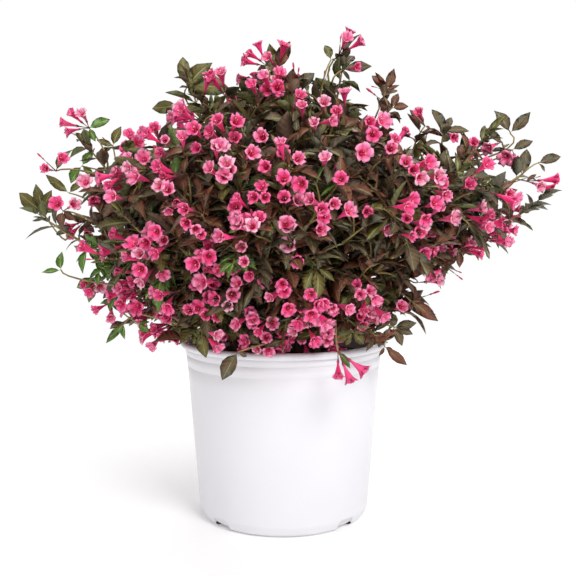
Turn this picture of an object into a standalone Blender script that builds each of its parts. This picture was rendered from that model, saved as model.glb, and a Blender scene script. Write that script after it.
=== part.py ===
"""A weigela in its nursery pot, in metres, +Z up.

The origin is the centre of the pot's flat underside, and the plant is seen from the front along +Y.
The pot and its soil are turned solids. One tapering cane runs from the soil to each mass of foliage.
A mass is a stem that goes on from its cane, with side twigs, opposite leaves and trumpet flowers,
joined into one solid. Each mass keeps to a cone of its own that opens from the crown's heart.
"""

import math
import random

import bmesh
import bpy
from mathutils import Vector
from mathutils.bvhtree import BVHTree

# Pot
LIP_RADIUS = 0.140
POT_HEIGHT = 0.2372
FOOT_RADIUS = 0.1145
WALL_SLOPE = 0.0784
WALL = 0.0026
FLOOR = 0.0032
LIP_DEPTH = 0.0090
COLLAR_HEIGHT = 0.0170
COLLAR_PROUD = 0.0016
BAND_HEIGHT = 0.0140
BAND_PROUD = 0.0007
FOOT_ROUND = 0.0100
TURN_STEPS = 36

# Drain notches in the foot
NOTCH_COUNT = 4
NOTCH_FIRST_AZIMUTH = math.radians(-45.0)
NOTCH_WIDTH = 0.030
NOTCH_HEIGHT = 0.0115
NOTCH_REACH = 0.0160
NOTCH_SHOULDER = 0.0040

# Soil
SOIL_DROP = 0.0240
SOIL_TOP = POT_HEIGHT - SOIL_DROP

# Gap kept between solids, and the wider one kept by leaves and twigs
GAP = 0.0003
CLEAR = 0.0012

# Crown: the heart that the masses open from, and the egg that holds the sprays
HEART = Vector((0.0, 0.0, 0.245))
CROWN_CENTRE = Vector((0.0, 0.0, 0.420))
CROWN_HALF = Vector((0.362, 0.292, 0.232))
CROWN_HALF_LOW_RIGHT = 0.315
CROWN_POWER = 2.4

# Furthest tips of each mass, leader first. Those at the sides and top are the crown's outline.
OUTLINE_TIPS = {
    "left_low": ((-0.250, -0.050, 0.255), (-0.305, 0.020, 0.303)),
    "left": ((-0.365, -0.010, 0.432), (-0.325, 0.040, 0.345)),
    "left_high": ((-0.300, 0.020, 0.538), (-0.310, -0.040, 0.500)),
    "top_left": ((-0.138, 0.000, 0.624), (-0.195, -0.030, 0.565)),
    "top": ((-0.015, 0.020, 0.642),),
    "top_right": ((0.088, -0.010, 0.653), (0.150, 0.030, 0.600)),
    "right_high": ((0.300, 0.000, 0.545), (0.215, -0.040, 0.550)),
    "right": ((0.376, -0.010, 0.450), (0.370, 0.030, 0.485), (0.294, -0.030, 0.364)),
    "right_low": ((0.213, -0.040, 0.283),),
}
FRONT_TIPS = {
    "left": ((-0.200, -0.215, 0.430),),
    "middle": ((0.010, -0.290, 0.405),),
    "right": ((0.205, -0.215, 0.440),),
    "low_left": ((-0.152, -0.178, 0.238),),
    "low_middle": ((0.000, -0.215, 0.232),),
    "low_right": ((0.152, -0.178, 0.240),),
    "high": ((0.010, -0.180, 0.575),),
}

# Canes
CANE_RADIUS = 0.0046
CANE_TIP_RADIUS = 0.0030
CANE_SHARE = 0.46
CANE_POINTS = 5
CANE_FOOT_INNER = 0.014
CANE_FOOT_SPREAD = 0.050
CANE_RISE = 0.085
CANE_LEAN = 0.10
CANE_FOOT_POWER = 1.5
CANE_SQUARE_FOOT = 0.004
CANE_SIDES = 6
SHOULDER_SHARE = 0.36
LOW_LIFT = -0.26
HIGH_LIFT = 0.18
LIFT_CHANGE = 0.30

# Stems and twigs of the masses
STEM_POINTS = 4
STEM_TIP_RADIUS = 0.0015
STEM_SHORT_OF_TIP = 0.064
SIDE_LEADER_ROOT = 0.40
SIDE_LEADER_ARCH = 0.10
TWIG_RADIUS = 0.0019
TWIG_TIP_RADIUS = 0.0014
TWIG_SIDES = 3
TWIG_MOST = 0.135
TWIG_LEAST = 0.035
END_PAIR_AT = 0.90
TWIG_PAIR_AT = 0.82
MIDDLE_PAIR_AT = 0.45
TWIG_LEAF_SIZE = 0.95
TWIG_ANGLE = math.radians(48.0)
TWIG_ROOTS = [0.06 + 0.08 * step for step in range(11)]
TWIGS_A_MASS = 8
FREE_SPOTS = 2500
LEAF_ROOM = 0.036

# Dense core of a mass, round the middle of its stem
CORE_CENTRE = 0.42
CORE_HALF_LENGTH = 0.33
CORE_HALF_WIDTH = 0.041
CORE_SHRINK = 0.93
CORE_LEAST = 0.4
CORE_LUMPS = (0.85, 1.1)

# Leaves and flowers, larger than life because each stands for several
LEAF_LENGTH = 0.080
LEAF_WIDTH = 0.043
LEAF_THICKNESS = 0.0018
LEAF_FOLD = 0.0045
LEAF_WIDEST = 0.46
LEAF_THICKEST = 0.15
LEAF_DROOP = 0.10
LEAF_ANGLE = math.radians(52.0)
LEAF_SIZES = (0.82, 1.12)
LEAF_SWAY = 0.15
LEAF_ROLL = 0.35
FACE_OUT = 0.6
FACE_UP = 0.7
LEAVES_A_MASS = 18
FLOWER_LENGTH = 0.040
FLOWER_RADIUS = 0.0180
FLOWER_DEPTH = 0.008
FLOWERS_A_MASS = 6
FIRST_FLOWER = 0.66
FLOWER_STEP = 0.22
FLOWER_FORWARD = 0.7
FLOWER_SWAY = 0.4
FLOWER_SIZES = (0.9, 1.15)
MOUTH_SHARE = 0.1
ROOT_OUT = 0.0001
END_SINK = 0.0030
TRIES = 10
TURN_A_TRY = 0.16
SEED = 41
PETAL_SLOT = 1


def clear_scene():
    """Takes away the startup scene's objects."""
    for thing in list(bpy.data.objects):
        bpy.data.objects.remove(thing, do_unlink=True)


def new_collection(name):
    collection = bpy.data.collections.new(name)
    bpy.context.scene.collection.children.link(collection)
    return collection


def material(name, colour, roughness, metallic=0.0):
    made = bpy.data.materials.new(name)
    made.use_nodes = True
    shader = made.node_tree.nodes["Principled BSDF"]
    shader.inputs["Base Color"].default_value = (*colour, 1.0)
    shader.inputs["Roughness"].default_value = roughness
    shader.inputs["Metallic"].default_value = metallic
    made.diffuse_color = (*colour, 1.0)
    return made


def add_object(name, data, collection, finish=None):
    thing = bpy.data.objects.new(name, data)
    collection.objects.link(thing)
    if finish:
        data.materials.append(finish)
    return thing


def turned(name, profile, collection, finish):
    """A profile of (radius, height) points, down its outer side, turned round the Z axis."""
    mesh = bpy.data.meshes.new(name)
    points = [(radius, 0.0, height) for radius, height in profile]
    edges = [(i, i + 1) for i in range(len(points) - 1)]
    mesh.from_pydata(points, edges, [])
    thing = add_object(name, mesh, collection, finish)
    screw = thing.modifiers.new("Turn", "SCREW")
    screw.steps = TURN_STEPS
    screw.render_steps = TURN_STEPS
    screw.use_merge_vertices = True
    screw.merge_threshold = 0.0001
    return thing


def arc(centre, radius, start, end, count):
    """Points on a quarter or half round, as (radius, height) pairs, angles in degrees."""
    angles = [math.radians(start + (end - start) * i / count) for i in range(count + 1)]
    return [(centre[0] + radius * math.cos(a), centre[1] + radius * math.sin(a)) for a in angles]


def wall_radius(height):
    """Outer radius of the tapered wall at a height."""
    return FOOT_RADIUS + WALL_SLOPE * height


def make_pot(collection, cutters, finish):
    """Rolled lip, collar, faint band, tapered wall, round foot and flat underside, with drain notches."""
    collar_top = POT_HEIGHT - LIP_DEPTH
    collar_foot = collar_top - COLLAR_HEIGHT
    band_foot = collar_foot - BAND_HEIGHT
    inner_top = wall_radius(POT_HEIGHT) - WALL
    lip_round = LIP_DEPTH / 2
    lip = arc((LIP_RADIUS - lip_round, POT_HEIGHT - lip_round), lip_round, 90, -90, 4)
    foot = arc((FOOT_RADIUS - FOOT_ROUND, FOOT_ROUND), FOOT_ROUND, 0, -90, 3)
    profile = [
        (0.0, FLOOR),
        (wall_radius(FLOOR) - WALL - FOOT_ROUND / 2, FLOOR),
        (wall_radius(FLOOR + FOOT_ROUND / 2) - WALL, FLOOR + FOOT_ROUND / 2),
        (inner_top, POT_HEIGHT),
        *lip,
        (wall_radius(collar_top) + COLLAR_PROUD, collar_top),
        (wall_radius(collar_foot) + COLLAR_PROUD, collar_foot),
        (wall_radius(collar_foot) + BAND_PROUD, collar_foot),
        (wall_radius(band_foot) + BAND_PROUD, band_foot),
        (wall_radius(band_foot), band_foot),
        *foot,
        (0.0, 0.0),
    ]
    pot = turned("pot", profile, collection, finish)
    for number in range(NOTCH_COUNT):
        azimuth = NOTCH_FIRST_AZIMUTH + number * math.tau / NOTCH_COUNT
        cut = pot.modifiers.new(f"Notch {number + 1}", "BOOLEAN")
        cut.operation = "DIFFERENCE"
        cut.object = make_notch(number, azimuth, cutters)


def make_notch(number, azimuth, cutters):
    """A block with sloping shoulders that cuts a drain notch across the foot's edge."""
    half = NOTCH_WIDTH / 2
    shape = bmesh.new()
    bmesh.ops.create_cube(shape, size=1.0)
    for corner in shape.verts:
        high = corner.co.z > 0
        side = half - (NOTCH_SHOULDER if high else 0.0)
        corner.co.x = math.copysign(side, corner.co.x)
        corner.co.y = math.copysign(NOTCH_REACH, corner.co.y)
        corner.co.z = NOTCH_HEIGHT if high else -NOTCH_HEIGHT
    mesh = bpy.data.meshes.new("notch")
    shape.to_mesh(mesh)
    shape.free()
    block = add_object(f"notch_cutter_{number + 1}", mesh, cutters)
    block.location = (FOOT_RADIUS * math.sin(azimuth), -FOOT_RADIUS * math.cos(azimuth), 0.0)
    block.rotation_euler = (0.0, 0.0, azimuth)
    block.hide_render = True
    block.display_type = "WIRE"
    return block


def make_soil(collection, finish):
    """The root ball and compost that fill the pot, a gap clear of its wall and floor."""
    inside = wall_radius(0.0) - WALL - 2 * GAP
    low = FLOOR + GAP
    shoulder = FLOOR + FOOT_ROUND / 2 + GAP
    profile = [
        (0.0, SOIL_TOP),
        (inside + WALL_SLOPE * SOIL_TOP, SOIL_TOP),
        (inside + WALL_SLOPE * shoulder, shoulder),
        (wall_radius(FLOOR) - WALL - FOOT_ROUND / 2 - 2 * GAP, low),
        (0.0, low),
    ]
    return turned("soil", profile, collection, finish)


def foliage_tips():
    """Every mass's tips by its node name: those of the outline, the front, and the back as its mirror."""
    tips = {f"foliage_{name}": ends for name, ends in OUTLINE_TIPS.items()}
    for name, ends in FRONT_TIPS.items():
        tips[f"foliage_front_{name}"] = ends
        tips[f"foliage_back_{name}"] = tuple((x, -y, z) for x, y, z in ends)
    return {name: [Vector(end) for end in ends] for name, ends in tips.items()}


def cubic(start, first, second, end, share):
    """A point of the cubic curve through its ends, drawn towards its two handles."""
    rest = 1.0 - share
    return (
        start * rest**3
        + first * (3 * rest**2 * share)
        + second * (3 * rest * share**2)
        + end * share**3
    )


def limb_route(tip):
    """Route from the soil to a mass's leading tip: straight up, then arching out and over."""
    reach = tip - HEART
    level = Vector((reach.x, reach.y, 0.0))
    out = level.normalized()
    height = math.asin(max(-1.0, min(1.0, reach.z / reach.length))) / (math.pi / 2)
    spread = (1.0 - max(height, 0.0)) ** CANE_FOOT_POWER
    foot = out * (CANE_FOOT_INNER + CANE_FOOT_SPREAD * spread)
    foot.z = SOIL_TOP + GAP
    rise = foot + Vector((0.0, 0.0, CANE_RISE)) + out * level.length * CANE_LEAN
    lift = LOW_LIFT + (HIGH_LIFT - LOW_LIFT) * max(0.0, min(1.0, height / LIFT_CHANGE))
    direction = (reach.normalized() + Vector((0.0, 0.0, lift))).normalized()
    end = tip - direction * STEM_SHORT_OF_TIP
    shoulder = end - direction * (end - foot).length * SHOULDER_SHARE
    return lambda share: cubic(foot, rise, shoulder, end, share)


def cone_axis(tip, route):
    """The middle of a mass's cone: half way between its leading tip and its stem's middle."""
    middle = route((CANE_SHARE + 1.0) / 2)
    return ((tip - HEART).normalized() + (middle - HEART).normalized()).normalized()


def frames(points):
    """(along, across, normal) at each point of a route, carried along it without twist."""
    result = []
    across = None
    for i, point in enumerate(points):
        before = points[max(i - 1, 0)]
        after = points[min(i + 1, len(points) - 1)]
        along = (after - before).normalized()
        if across is None:
            across = along.orthogonal()
        across = (across - along * across.dot(along)).normalized()
        result.append((along, across, along.cross(across)))
    return result


def limb_solid(points, radii, sides, first_along=None):
    """A closed tapering limb: rings of a few sides carried along the route, with flat ends."""
    shape = bmesh.new()
    rings = []
    for i, (point, radius, frame) in enumerate(zip(points, radii, frames(points))):
        along, across, normal = frame
        if i == 0 and first_along is not None:
            across = (across - first_along * across.dot(first_along)).normalized()
            normal = first_along.cross(across)
        turns = [math.tau * side / sides for side in range(sides)]
        spokes = [across * math.cos(turn) + normal * math.sin(turn) for turn in turns]
        rings.append([shape.verts.new(point + spoke * radius) for spoke in spokes])
    for low, high in zip(rings, rings[1:]):
        for side in range(sides):
            other = (side + 1) % sides
            shape.faces.new((low[side], low[other], high[other], high[side]))
    shape.faces.new(list(reversed(rings[0])))
    shape.faces.new(rings[-1])
    bmesh.ops.triangulate(shape, faces=shape.faces)
    return shape


def leaf_solid(root, direction, facing, size):
    """A folded, pointed leaf of 8 faces: a flattened octahedron bent up along its sides."""
    length = LEAF_LENGTH * size
    normal = (facing - direction * facing.dot(direction)).normalized()
    side = normal.cross(direction) * LEAF_WIDTH * size / 2
    widest = direction * length * LEAF_WIDEST + normal * LEAF_FOLD
    thickest = direction * length * LEAF_THICKEST
    places = {
        (1, 0, 0): direction * length - normal * length * LEAF_DROOP,
        (-1, 0, 0): direction * ROOT_OUT,
        (0, 1, 0): widest + side,
        (0, -1, 0): widest - side,
        (0, 0, 1): thickest + normal * LEAF_THICKNESS / 2,
        (0, 0, -1): thickest - normal * LEAF_THICKNESS / 2,
    }
    shape = bmesh.new()
    bmesh.ops.create_uvsphere(shape, u_segments=4, v_segments=2, radius=1.0)
    for corner in shape.verts:
        corner.co = root + places[tuple(round(value) for value in corner.co)]
    return shape


def flower_solid(root, direction, size):
    """A trumpet flower of 10 faces: a five-sided cone from its stalk with a hollowed mouth."""
    shape = bmesh.new()
    bmesh.ops.create_cone(
        shape,
        cap_ends=True,
        cap_tris=True,
        segments=5,
        radius1=FLOWER_RADIUS * size,
        radius2=0.0,
        depth=1.0,
    )
    across = direction.orthogonal().normalized()
    other = across.cross(direction)
    length = FLOWER_LENGTH * size
    for corner in shape.verts:
        x, y, z = corner.co
        middle = math.hypot(x, y) < FLOWER_RADIUS * size * MOUTH_SHARE
        along = length if z < 0 else ROOT_OUT
        if middle and z < 0:
            along -= FLOWER_DEPTH * size
        corner.co = root + direction * along + across * x + other * y
    for face in shape.faces:
        face.material_index = PETAL_SLOT
    return shape


def core_solid(centre, along, half_length, half_width, rng):
    """The inner foliage of a dense mass as one lump of 20 faces, longest along the stem."""
    shape = bmesh.new()
    bmesh.ops.create_icosphere(shape, subdivisions=1, radius=1.0)
    across = along.orthogonal().normalized()
    other = along.cross(across)
    for corner in shape.verts:
        x, y, z = corner.co * rng.uniform(*CORE_LUMPS)
        corner.co = centre + along * (z * half_length) + (across * x + other * y) * half_width
    return shape


class Space:
    """The room that one mass may use: its cone from the heart, clear of the canes, the pot and the soil."""

    def __init__(self, name, axes, obstacles):
        others = [axis for other, axis in axes.items() if other != name]
        self.planes = [(axes[name] - axis).normalized() for axis in others]
        self.obstacles = obstacles

    def in_cone(self, point, margin=CLEAR):
        return all((point - HEART).dot(plane) > margin for plane in self.planes)

    def holds(self, shape, tree):
        points = [corner.co for corner in shape.verts]
        if not all(self.in_cone(point) and off_pot(point) for point in points):
            return False
        return not self.obstacles.overlap(tree)


def off_pot(point):
    """True where a point is clear above the lip, or outside it."""
    radius = math.hypot(point.x, point.y)
    return point.z > POT_HEIGHT + 2 * CLEAR or radius > LIP_RADIUS + 2 * CLEAR


def in_crown(point):
    """True inside the egg that the sprays fill, which is narrower low on the right."""
    reach = point - CROWN_CENTRE
    low_right = reach.x > 0 and reach.z < 0
    half_x = CROWN_HALF_LOW_RIGHT if low_right else CROWN_HALF.x
    parts = (reach.x / half_x, reach.y / CROWN_HALF.y, reach.z / CROWN_HALF.z)
    return sum(abs(part) ** CROWN_POWER for part in parts) < 1.0


def make_cane(name, route, collection, finish):
    """A limb from the soil to where it enters its mass, as a tapering curve with flat ends."""
    foot = route(0.0)
    points = [foot, foot + Vector((0.0, 0.0, CANE_SQUARE_FOOT))]
    points += [route(CANE_SHARE * i / CANE_POINTS) for i in range(1, CANE_POINTS + 1)]
    curve = bpy.data.curves.new(name, "CURVE")
    curve.dimensions = "3D"
    curve.bevel_depth = 1.0
    curve.bevel_resolution = 1
    curve.use_fill_caps = True
    spline = curve.splines.new("POLY")
    spline.points.add(len(points) - 1)
    for i, (place, point) in enumerate(zip(spline.points, points)):
        share = i / (len(points) - 1)
        place.co = (*point, 1.0)
        place.radius = CANE_RADIUS + (CANE_TIP_RADIUS - CANE_RADIUS) * share
    add_object(name, curve, collection, finish)
    return (points[-1] - points[-2]).normalized()


def obstacles_of(routes):
    """What leaves and twigs stay clear of: every cane, swelled a little, and the lip of the pot."""
    corners = []
    faces = []
    for route in routes.values():
        points = [route(CANE_SHARE * i / CANE_POINTS) for i in range(CANE_POINTS + 1)]
        radii = [CANE_RADIUS + CLEAR] * len(points)
        shape = limb_solid(points, radii, CANE_SIDES)
        first = len(corners)
        corners += [corner.co.copy() for corner in shape.verts]
        faces += [[first + corner.index for corner in face.verts] for face in indexed(shape).faces]
        shape.free()
    shape = bmesh.new()
    bmesh.ops.create_cone(
        shape,
        cap_ends=True,
        segments=TURN_STEPS,
        radius1=LIP_RADIUS + CLEAR,
        radius2=LIP_RADIUS + CLEAR,
        depth=POT_HEIGHT + CLEAR,
    )
    first = len(corners)
    corners += [corner.co + Vector((0, 0, (POT_HEIGHT + CLEAR) / 2)) for corner in shape.verts]
    faces += [[first + corner.index for corner in face.verts] for face in indexed(shape).faces]
    shape.free()
    return BVHTree.FromPolygons(corners, faces)


def indexed(shape):
    """The same shape with its corners numbered afresh."""
    shape.verts.index_update()
    return shape


def towards(point):
    """The way a leaf's face turns at a point: outwards from the heart, and up to the light."""
    return ((point - HEART).normalized() * FACE_OUT + Vector((0.0, 0.0, FACE_UP))).normalized()


def jitter(rng, amount):
    return Vector([rng.uniform(-amount, amount) for _ in range(3)])


class Mass:
    """One mass of foliage while it grows: its solids, and how many leaves and flowers it still takes."""

    def __init__(self, space, rng):
        self.space = space
        self.rng = rng
        self.solids = []
        self.twigs = []
        self.blades = []
        self.core = None
        self.leaves = LEAVES_A_MASS
        self.flowers = FLOWERS_A_MASS

    def keep(self, shape, check_crown=True, blade=False):
        """Takes a solid if it fits the mass's space and, but for a leader's, the crown's egg.

        A leaf or flower also keeps off the core, and every solid keeps off the other leaves and flowers.
        """
        tree = BVHTree.FromBMesh(shape)
        fits = self.space.holds(shape, tree)
        if fits and check_crown:
            fits = all(in_crown(corner.co) for corner in shape.verts)
        if fits and blade and self.core:
            fits = not self.core.overlap(tree)
        fits = fits and not any(other.overlap(tree) for other in self.blades)
        if fits:
            self.solids.append(shape)
            if blade:
                self.blades.append(tree)
        else:
            shape.free()
        return fits

    def add_core(self, centre, along, half_length):
        """The largest core that the space takes, made smaller step by step."""
        scale = 1.0
        while scale > CORE_LEAST:
            width = CORE_HALF_WIDTH * scale
            shape = core_solid(centre, along, half_length * scale, width, self.rng)
            tree = BVHTree.FromBMesh(shape)
            if self.keep(shape, False):
                self.core = tree
                return
            scale *= CORE_SHRINK

    def add_leaf(self, root, direction, size=1.0, check_crown=True):
        """A leaf at a place of a twig, turned a little further each time that it doesn't fit."""
        kept = False
        for attempt in range(TRIES):
            if kept or self.leaves <= 0:
                break
            facing = towards(root) + jitter(self.rng, LEAF_ROLL)
            turned_to = (direction.normalized() + jitter(self.rng, TURN_A_TRY * attempt)).normalized()
            kept = self.keep(leaf_solid(root, turned_to, facing, size), check_crown, True)
            self.leaves -= kept
        return kept

    def add_flower(self, root, direction, size=1.0, check_crown=True):
        """A flower at a place of a twig, turned a little further each time that it doesn't fit."""
        kept = False
        for attempt in range(TRIES):
            if kept or self.flowers <= 0:
                break
            turned_to = (direction.normalized() + jitter(self.rng, TURN_A_TRY * attempt)).normalized()
            kept = self.keep(flower_solid(root, turned_to, size), check_crown, True)
            self.flowers -= kept
        return kept

    def add_pair(self, root, along, turn, check_crown=True):
        """Two opposite leaves at a node, turned round the twig by an angle."""
        across = along.orthogonal().normalized()
        spoke = across * math.cos(turn) + along.cross(across) * math.sin(turn)
        for sign in (1.0, -1.0):
            direction = along * math.cos(LEAF_ANGLE) + spoke * (sign * math.sin(LEAF_ANGLE))
            size = self.rng.uniform(*LEAF_SIZES)
            self.add_leaf(root, direction + jitter(self.rng, LEAF_SWAY), size, check_crown)

    def add_end(self, start, tip, flowers, check_crown=True):
        """What a leading twig ends in, each on its own stretch: one leaf, a pair, and its flowers."""
        along = (tip - start).normalized()
        self.add_leaf(tip - along * END_SINK, along, 1.0, check_crown)
        self.add_flowers(start, tip, flowers, check_crown)
        self.add_pair(start.lerp(tip, END_PAIR_AT), along, self.rng.uniform(0.0, math.pi), check_crown)

    def add_flowers(self, start, tip, count, check_crown):
        """Flowers along the last stretch of a twig, turned out and up."""
        for step in range(count):
            root = start.lerp(tip, FIRST_FLOWER - FLOWER_STEP * step)
            along = (tip - start).normalized()
            outward = along * FLOWER_FORWARD + towards(root) + jitter(self.rng, FLOWER_SWAY)
            self.add_flower(root, outward, self.rng.uniform(*FLOWER_SIZES), check_crown)

    def add_twig(self, root, tip):
        """A straight side twig with a leading leaf, a pair and a flower, if its leading leaf fits."""
        along = (tip - root).normalized()
        wood = limb_solid([root, tip], (TWIG_RADIUS, TWIG_TIP_RADIUS), TWIG_SIDES)
        if not self.keep(wood):
            return
        if not self.add_leaf(tip - along * END_SINK, along, TWIG_LEAF_SIZE):
            self.solids.remove(wood)
            wood.free()
            return
        self.twigs.append((root, tip))
        self.add_flowers(root, tip, 1, True)
        self.add_pair(root.lerp(tip, TWIG_PAIR_AT), along, self.rng.uniform(0.0, math.pi))

    def add_side_leader(self, root, goal):
        """A longer, bent twig to another of the mass's furthest tips, whose end leaf reaches it."""
        tip = goal - (goal - root).normalized() * (LEAF_LENGTH - END_SINK)
        middle = (root + tip) / 2 + Vector((0.0, 0.0, SIDE_LEADER_ARCH * (tip - root).length))
        radii = (TWIG_RADIUS * 1.1, TWIG_RADIUS, TWIG_TIP_RADIUS)
        if self.keep(limb_solid([root, middle, tip], radii, TWIG_SIDES), False):
            self.add_end(middle, tip, 2, False)
            self.add_pair(root.lerp(middle, TWIG_PAIR_AT), (tip - root).normalized(), 0.0)


def grow_mass(space, route, joint_along, goals, rng):
    """Stem first, then its leading end, its other furthest tips, its side twigs and its own leaves."""
    start = CANE_SHARE
    points = [route(start + (1.0 - start) * i / STEM_POINTS) for i in range(STEM_POINTS + 1)]
    points[0] = points[0] + joint_along * GAP
    count = len(points)
    radii = [
        CANE_TIP_RADIUS + (STEM_TIP_RADIUS - CANE_TIP_RADIUS) * i / (count - 1) for i in range(count)
    ]
    mass = Mass(space, rng)
    mass.solids.append(limb_solid(points, radii, TWIG_SIDES, joint_along))
    chord = points[-1] - points[0]
    middle = route(start + (1.0 - start) * CORE_CENTRE)
    mass.add_core(middle, chord.normalized(), chord.length * CORE_HALF_LENGTH)
    tip_along = (points[-1] - points[-2]).normalized()
    end = points[-1]
    mass.add_leaf(end - tip_along * END_SINK, goals[0] - end, 1.0, False)
    mass.add_end(points[-2], end - tip_along * 2 * END_SINK, 2, False)
    for goal in goals[1:]:
        mass.add_side_leader(route(start + (1.0 - start) * SIDE_LEADER_ROOT), goal)
    stem = [route(start + (1.0 - start) * share) for share in TWIG_ROOTS]
    taken = [end, *goals]
    spots = free_spots(space, rng)
    while spots and len(mass.twigs) < TWIGS_A_MASS:
        spot = max(spots, key=lambda point: min((point - other).length for other in taken))
        spots.remove(spot)
        root = best_root(stem, spot)
        if TWIG_LEAST < (spot - root).length < TWIG_MOST:
            taken.append(spot)
            mass.add_twig(root, spot)
    for root, tip in mass.twigs:
        along = (tip - root).normalized()
        mass.add_pair(root.lerp(tip, MIDDLE_PAIR_AT), along, rng.uniform(0.0, math.pi))
    return mass.solids


def free_spots(space, rng):
    """Places in the mass's cone, a leaf's room inside the crown's egg, where a twig may end."""
    spots = []
    for _ in range(FREE_SPOTS):
        reach = Vector([rng.uniform(-1.0, 1.0) * half for half in CROWN_HALF])
        spot = CROWN_CENTRE + reach
        outward = spot + (spot - HEART).normalized() * LEAF_ROOM
        if space.in_cone(spot, 4 * CLEAR) and in_crown(outward) and off_pot(spot):
            spots.append(spot)
    return spots


def best_root(stem, spot):
    """The point of the stem from which a twig to a spot leaves nearest to the usual angle."""

    def off_angle(place):
        along = stem[min(place + 1, len(stem) - 1)] - stem[max(place - 1, 0)]
        return abs(along.angle(spot - stem[place]) - TWIG_ANGLE)

    return stem[min(range(len(stem)), key=off_angle)]


def largest_shell(mesh):
    """Keeps the outer shell of the joined mass: a loose scrap or a sealed hollow is dropped."""
    shape = bmesh.new()
    shape.from_mesh(mesh)
    left = set(shape.faces)
    shells = []
    while left:
        edge_faces = [left.pop()]
        shell = set(edge_faces)
        while edge_faces:
            face = edge_faces.pop()
            for edge in face.edges:
                for neighbour in edge.link_faces:
                    if neighbour in left:
                        left.discard(neighbour)
                        shell.add(neighbour)
                        edge_faces.append(neighbour)
        shells.append(shell)
    biggest = max(shells, key=len)
    scrap = [face for shell in shells if shell is not biggest for face in shell]
    bmesh.ops.delete(shape, geom=scrap, context="FACES")
    loose = [corner for corner in shape.verts if not corner.link_faces]
    bmesh.ops.delete(shape, geom=loose, context="VERTS")
    bmesh.ops.triangulate(shape, faces=shape.faces)
    shape.to_mesh(mesh)
    shape.free()


def join_mass(name, solids, collection, finishes):
    """One union joins a mass: its stem takes in its twigs, leaves and flowers."""
    pieces = new_collection(f"{name}_pieces")
    things = []
    for number, shape in enumerate(solids):
        mesh = bpy.data.meshes.new(f"{name}_{number}")
        shape.to_mesh(mesh)
        shape.free()
        for finish in finishes:
            mesh.materials.append(finish)
        things.append(add_object(mesh.name, mesh, pieces if number else collection))
    stem = things[0]
    union = stem.modifiers.new("Join", "BOOLEAN")
    union.operation = "UNION"
    union.operand_type = "COLLECTION"
    union.collection = pieces
    union.solver = "MANIFOLD"
    bpy.context.view_layer.update()
    joined = bpy.data.meshes.new_from_object(stem.evaluated_get(bpy.context.evaluated_depsgraph_get()))
    for thing in things:
        bpy.data.objects.remove(thing, do_unlink=True)
    bpy.data.collections.remove(pieces)
    largest_shell(joined)
    joined.name = name
    add_object(name, joined, collection)


def main():
    clear_scene()
    plant = new_collection("weigela_in_pot")
    cutters = new_collection("cutters")
    make_pot(plant, cutters, material("moulded_plastic", (0.86, 0.86, 0.88), 0.42))
    make_soil(plant, material("compost", (0.030, 0.020, 0.014), 0.95))
    bark = material("bark", (0.20, 0.13, 0.08), 0.80)
    leaves = material("bronze_leaves", (0.075, 0.060, 0.035), 0.50)
    petals = material("pink_petals", (0.80, 0.05, 0.22), 0.55)
    tips = foliage_tips()
    leaders = {name: ends[0] for name, ends in tips.items()}
    routes = {name: limb_route(tip) for name, tip in leaders.items()}
    axes = {name: cone_axis(leaders[name], routes[name]) for name in leaders}
    obstacles = obstacles_of(routes)
    for number, (name, ends) in enumerate(tips.items()):
        cane = name.replace("foliage", "cane")
        joint_along = make_cane(cane, routes[name], plant, bark)
        space = Space(name, axes, obstacles)
        rng = random.Random(SEED + number)
        solids = grow_mass(space, routes[name], joint_along, ends, rng)
        join_mass(name, solids, plant, (leaves, petals))


main()
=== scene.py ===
"""Looks of a weigela in its nursery pot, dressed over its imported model, in metres with +Z up.

The pot and the compost are turned surfaces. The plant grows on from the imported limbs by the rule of
their source: a stem goes on from each cane, side twigs run to well spread places in the stem's own
cone, and here finer shoots run on from those to the places between. Opposite leaves stand at the
nodes of every twig, and trumpet flowers in clusters at the outer ones.
"""

import logging
import math
from dataclasses import dataclass, field
from enum import Enum

import bpy
import numpy as np
from numpy.typing import NDArray
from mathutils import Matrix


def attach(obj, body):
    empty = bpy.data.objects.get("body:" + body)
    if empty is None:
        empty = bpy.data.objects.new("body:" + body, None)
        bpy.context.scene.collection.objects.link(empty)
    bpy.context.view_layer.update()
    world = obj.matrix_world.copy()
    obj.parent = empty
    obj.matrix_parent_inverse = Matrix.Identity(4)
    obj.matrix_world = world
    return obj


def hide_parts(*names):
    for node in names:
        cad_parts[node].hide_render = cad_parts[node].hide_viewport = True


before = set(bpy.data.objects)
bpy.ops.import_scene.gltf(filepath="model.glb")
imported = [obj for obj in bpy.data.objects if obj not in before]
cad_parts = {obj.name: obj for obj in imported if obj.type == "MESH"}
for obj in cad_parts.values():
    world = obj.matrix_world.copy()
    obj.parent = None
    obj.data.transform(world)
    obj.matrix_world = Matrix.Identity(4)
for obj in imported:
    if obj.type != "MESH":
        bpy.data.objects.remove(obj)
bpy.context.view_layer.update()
BODY = "root"
FOOT_GAP = 0.0003
LOG = logging.getLogger("weigela")

Array = NDArray[np.float64]
Indices = NDArray[np.int64]
Triple = tuple[float, float, float]
Colour = Triple
Pixel = tuple[int, int]
Span = tuple[float, float]
Row = tuple[float, ...]
Profile = list[Span]
Socket = bpy.types.NodeSocket
Material = bpy.types.Material


def unit(vectors: Array) -> Array:
    """Each vector divided by its own length."""
    return vectors / np.maximum(np.linalg.norm(vectors, axis=-1, keepdims=True), 1e-12)


def squared_off(vectors: Array, along: Array) -> Array:
    """Each vector without its part along a unit direction, made unit."""
    return unit(vectors - along * (vectors * along).sum(-1, keepdims=True))


def any_across(along: Array) -> Array:
    """A unit vector square to each direction: the world axis least along it, squared off."""
    least = np.eye(3)[np.abs(along).argmin(-1)]
    return squared_off(least, along)


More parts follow.
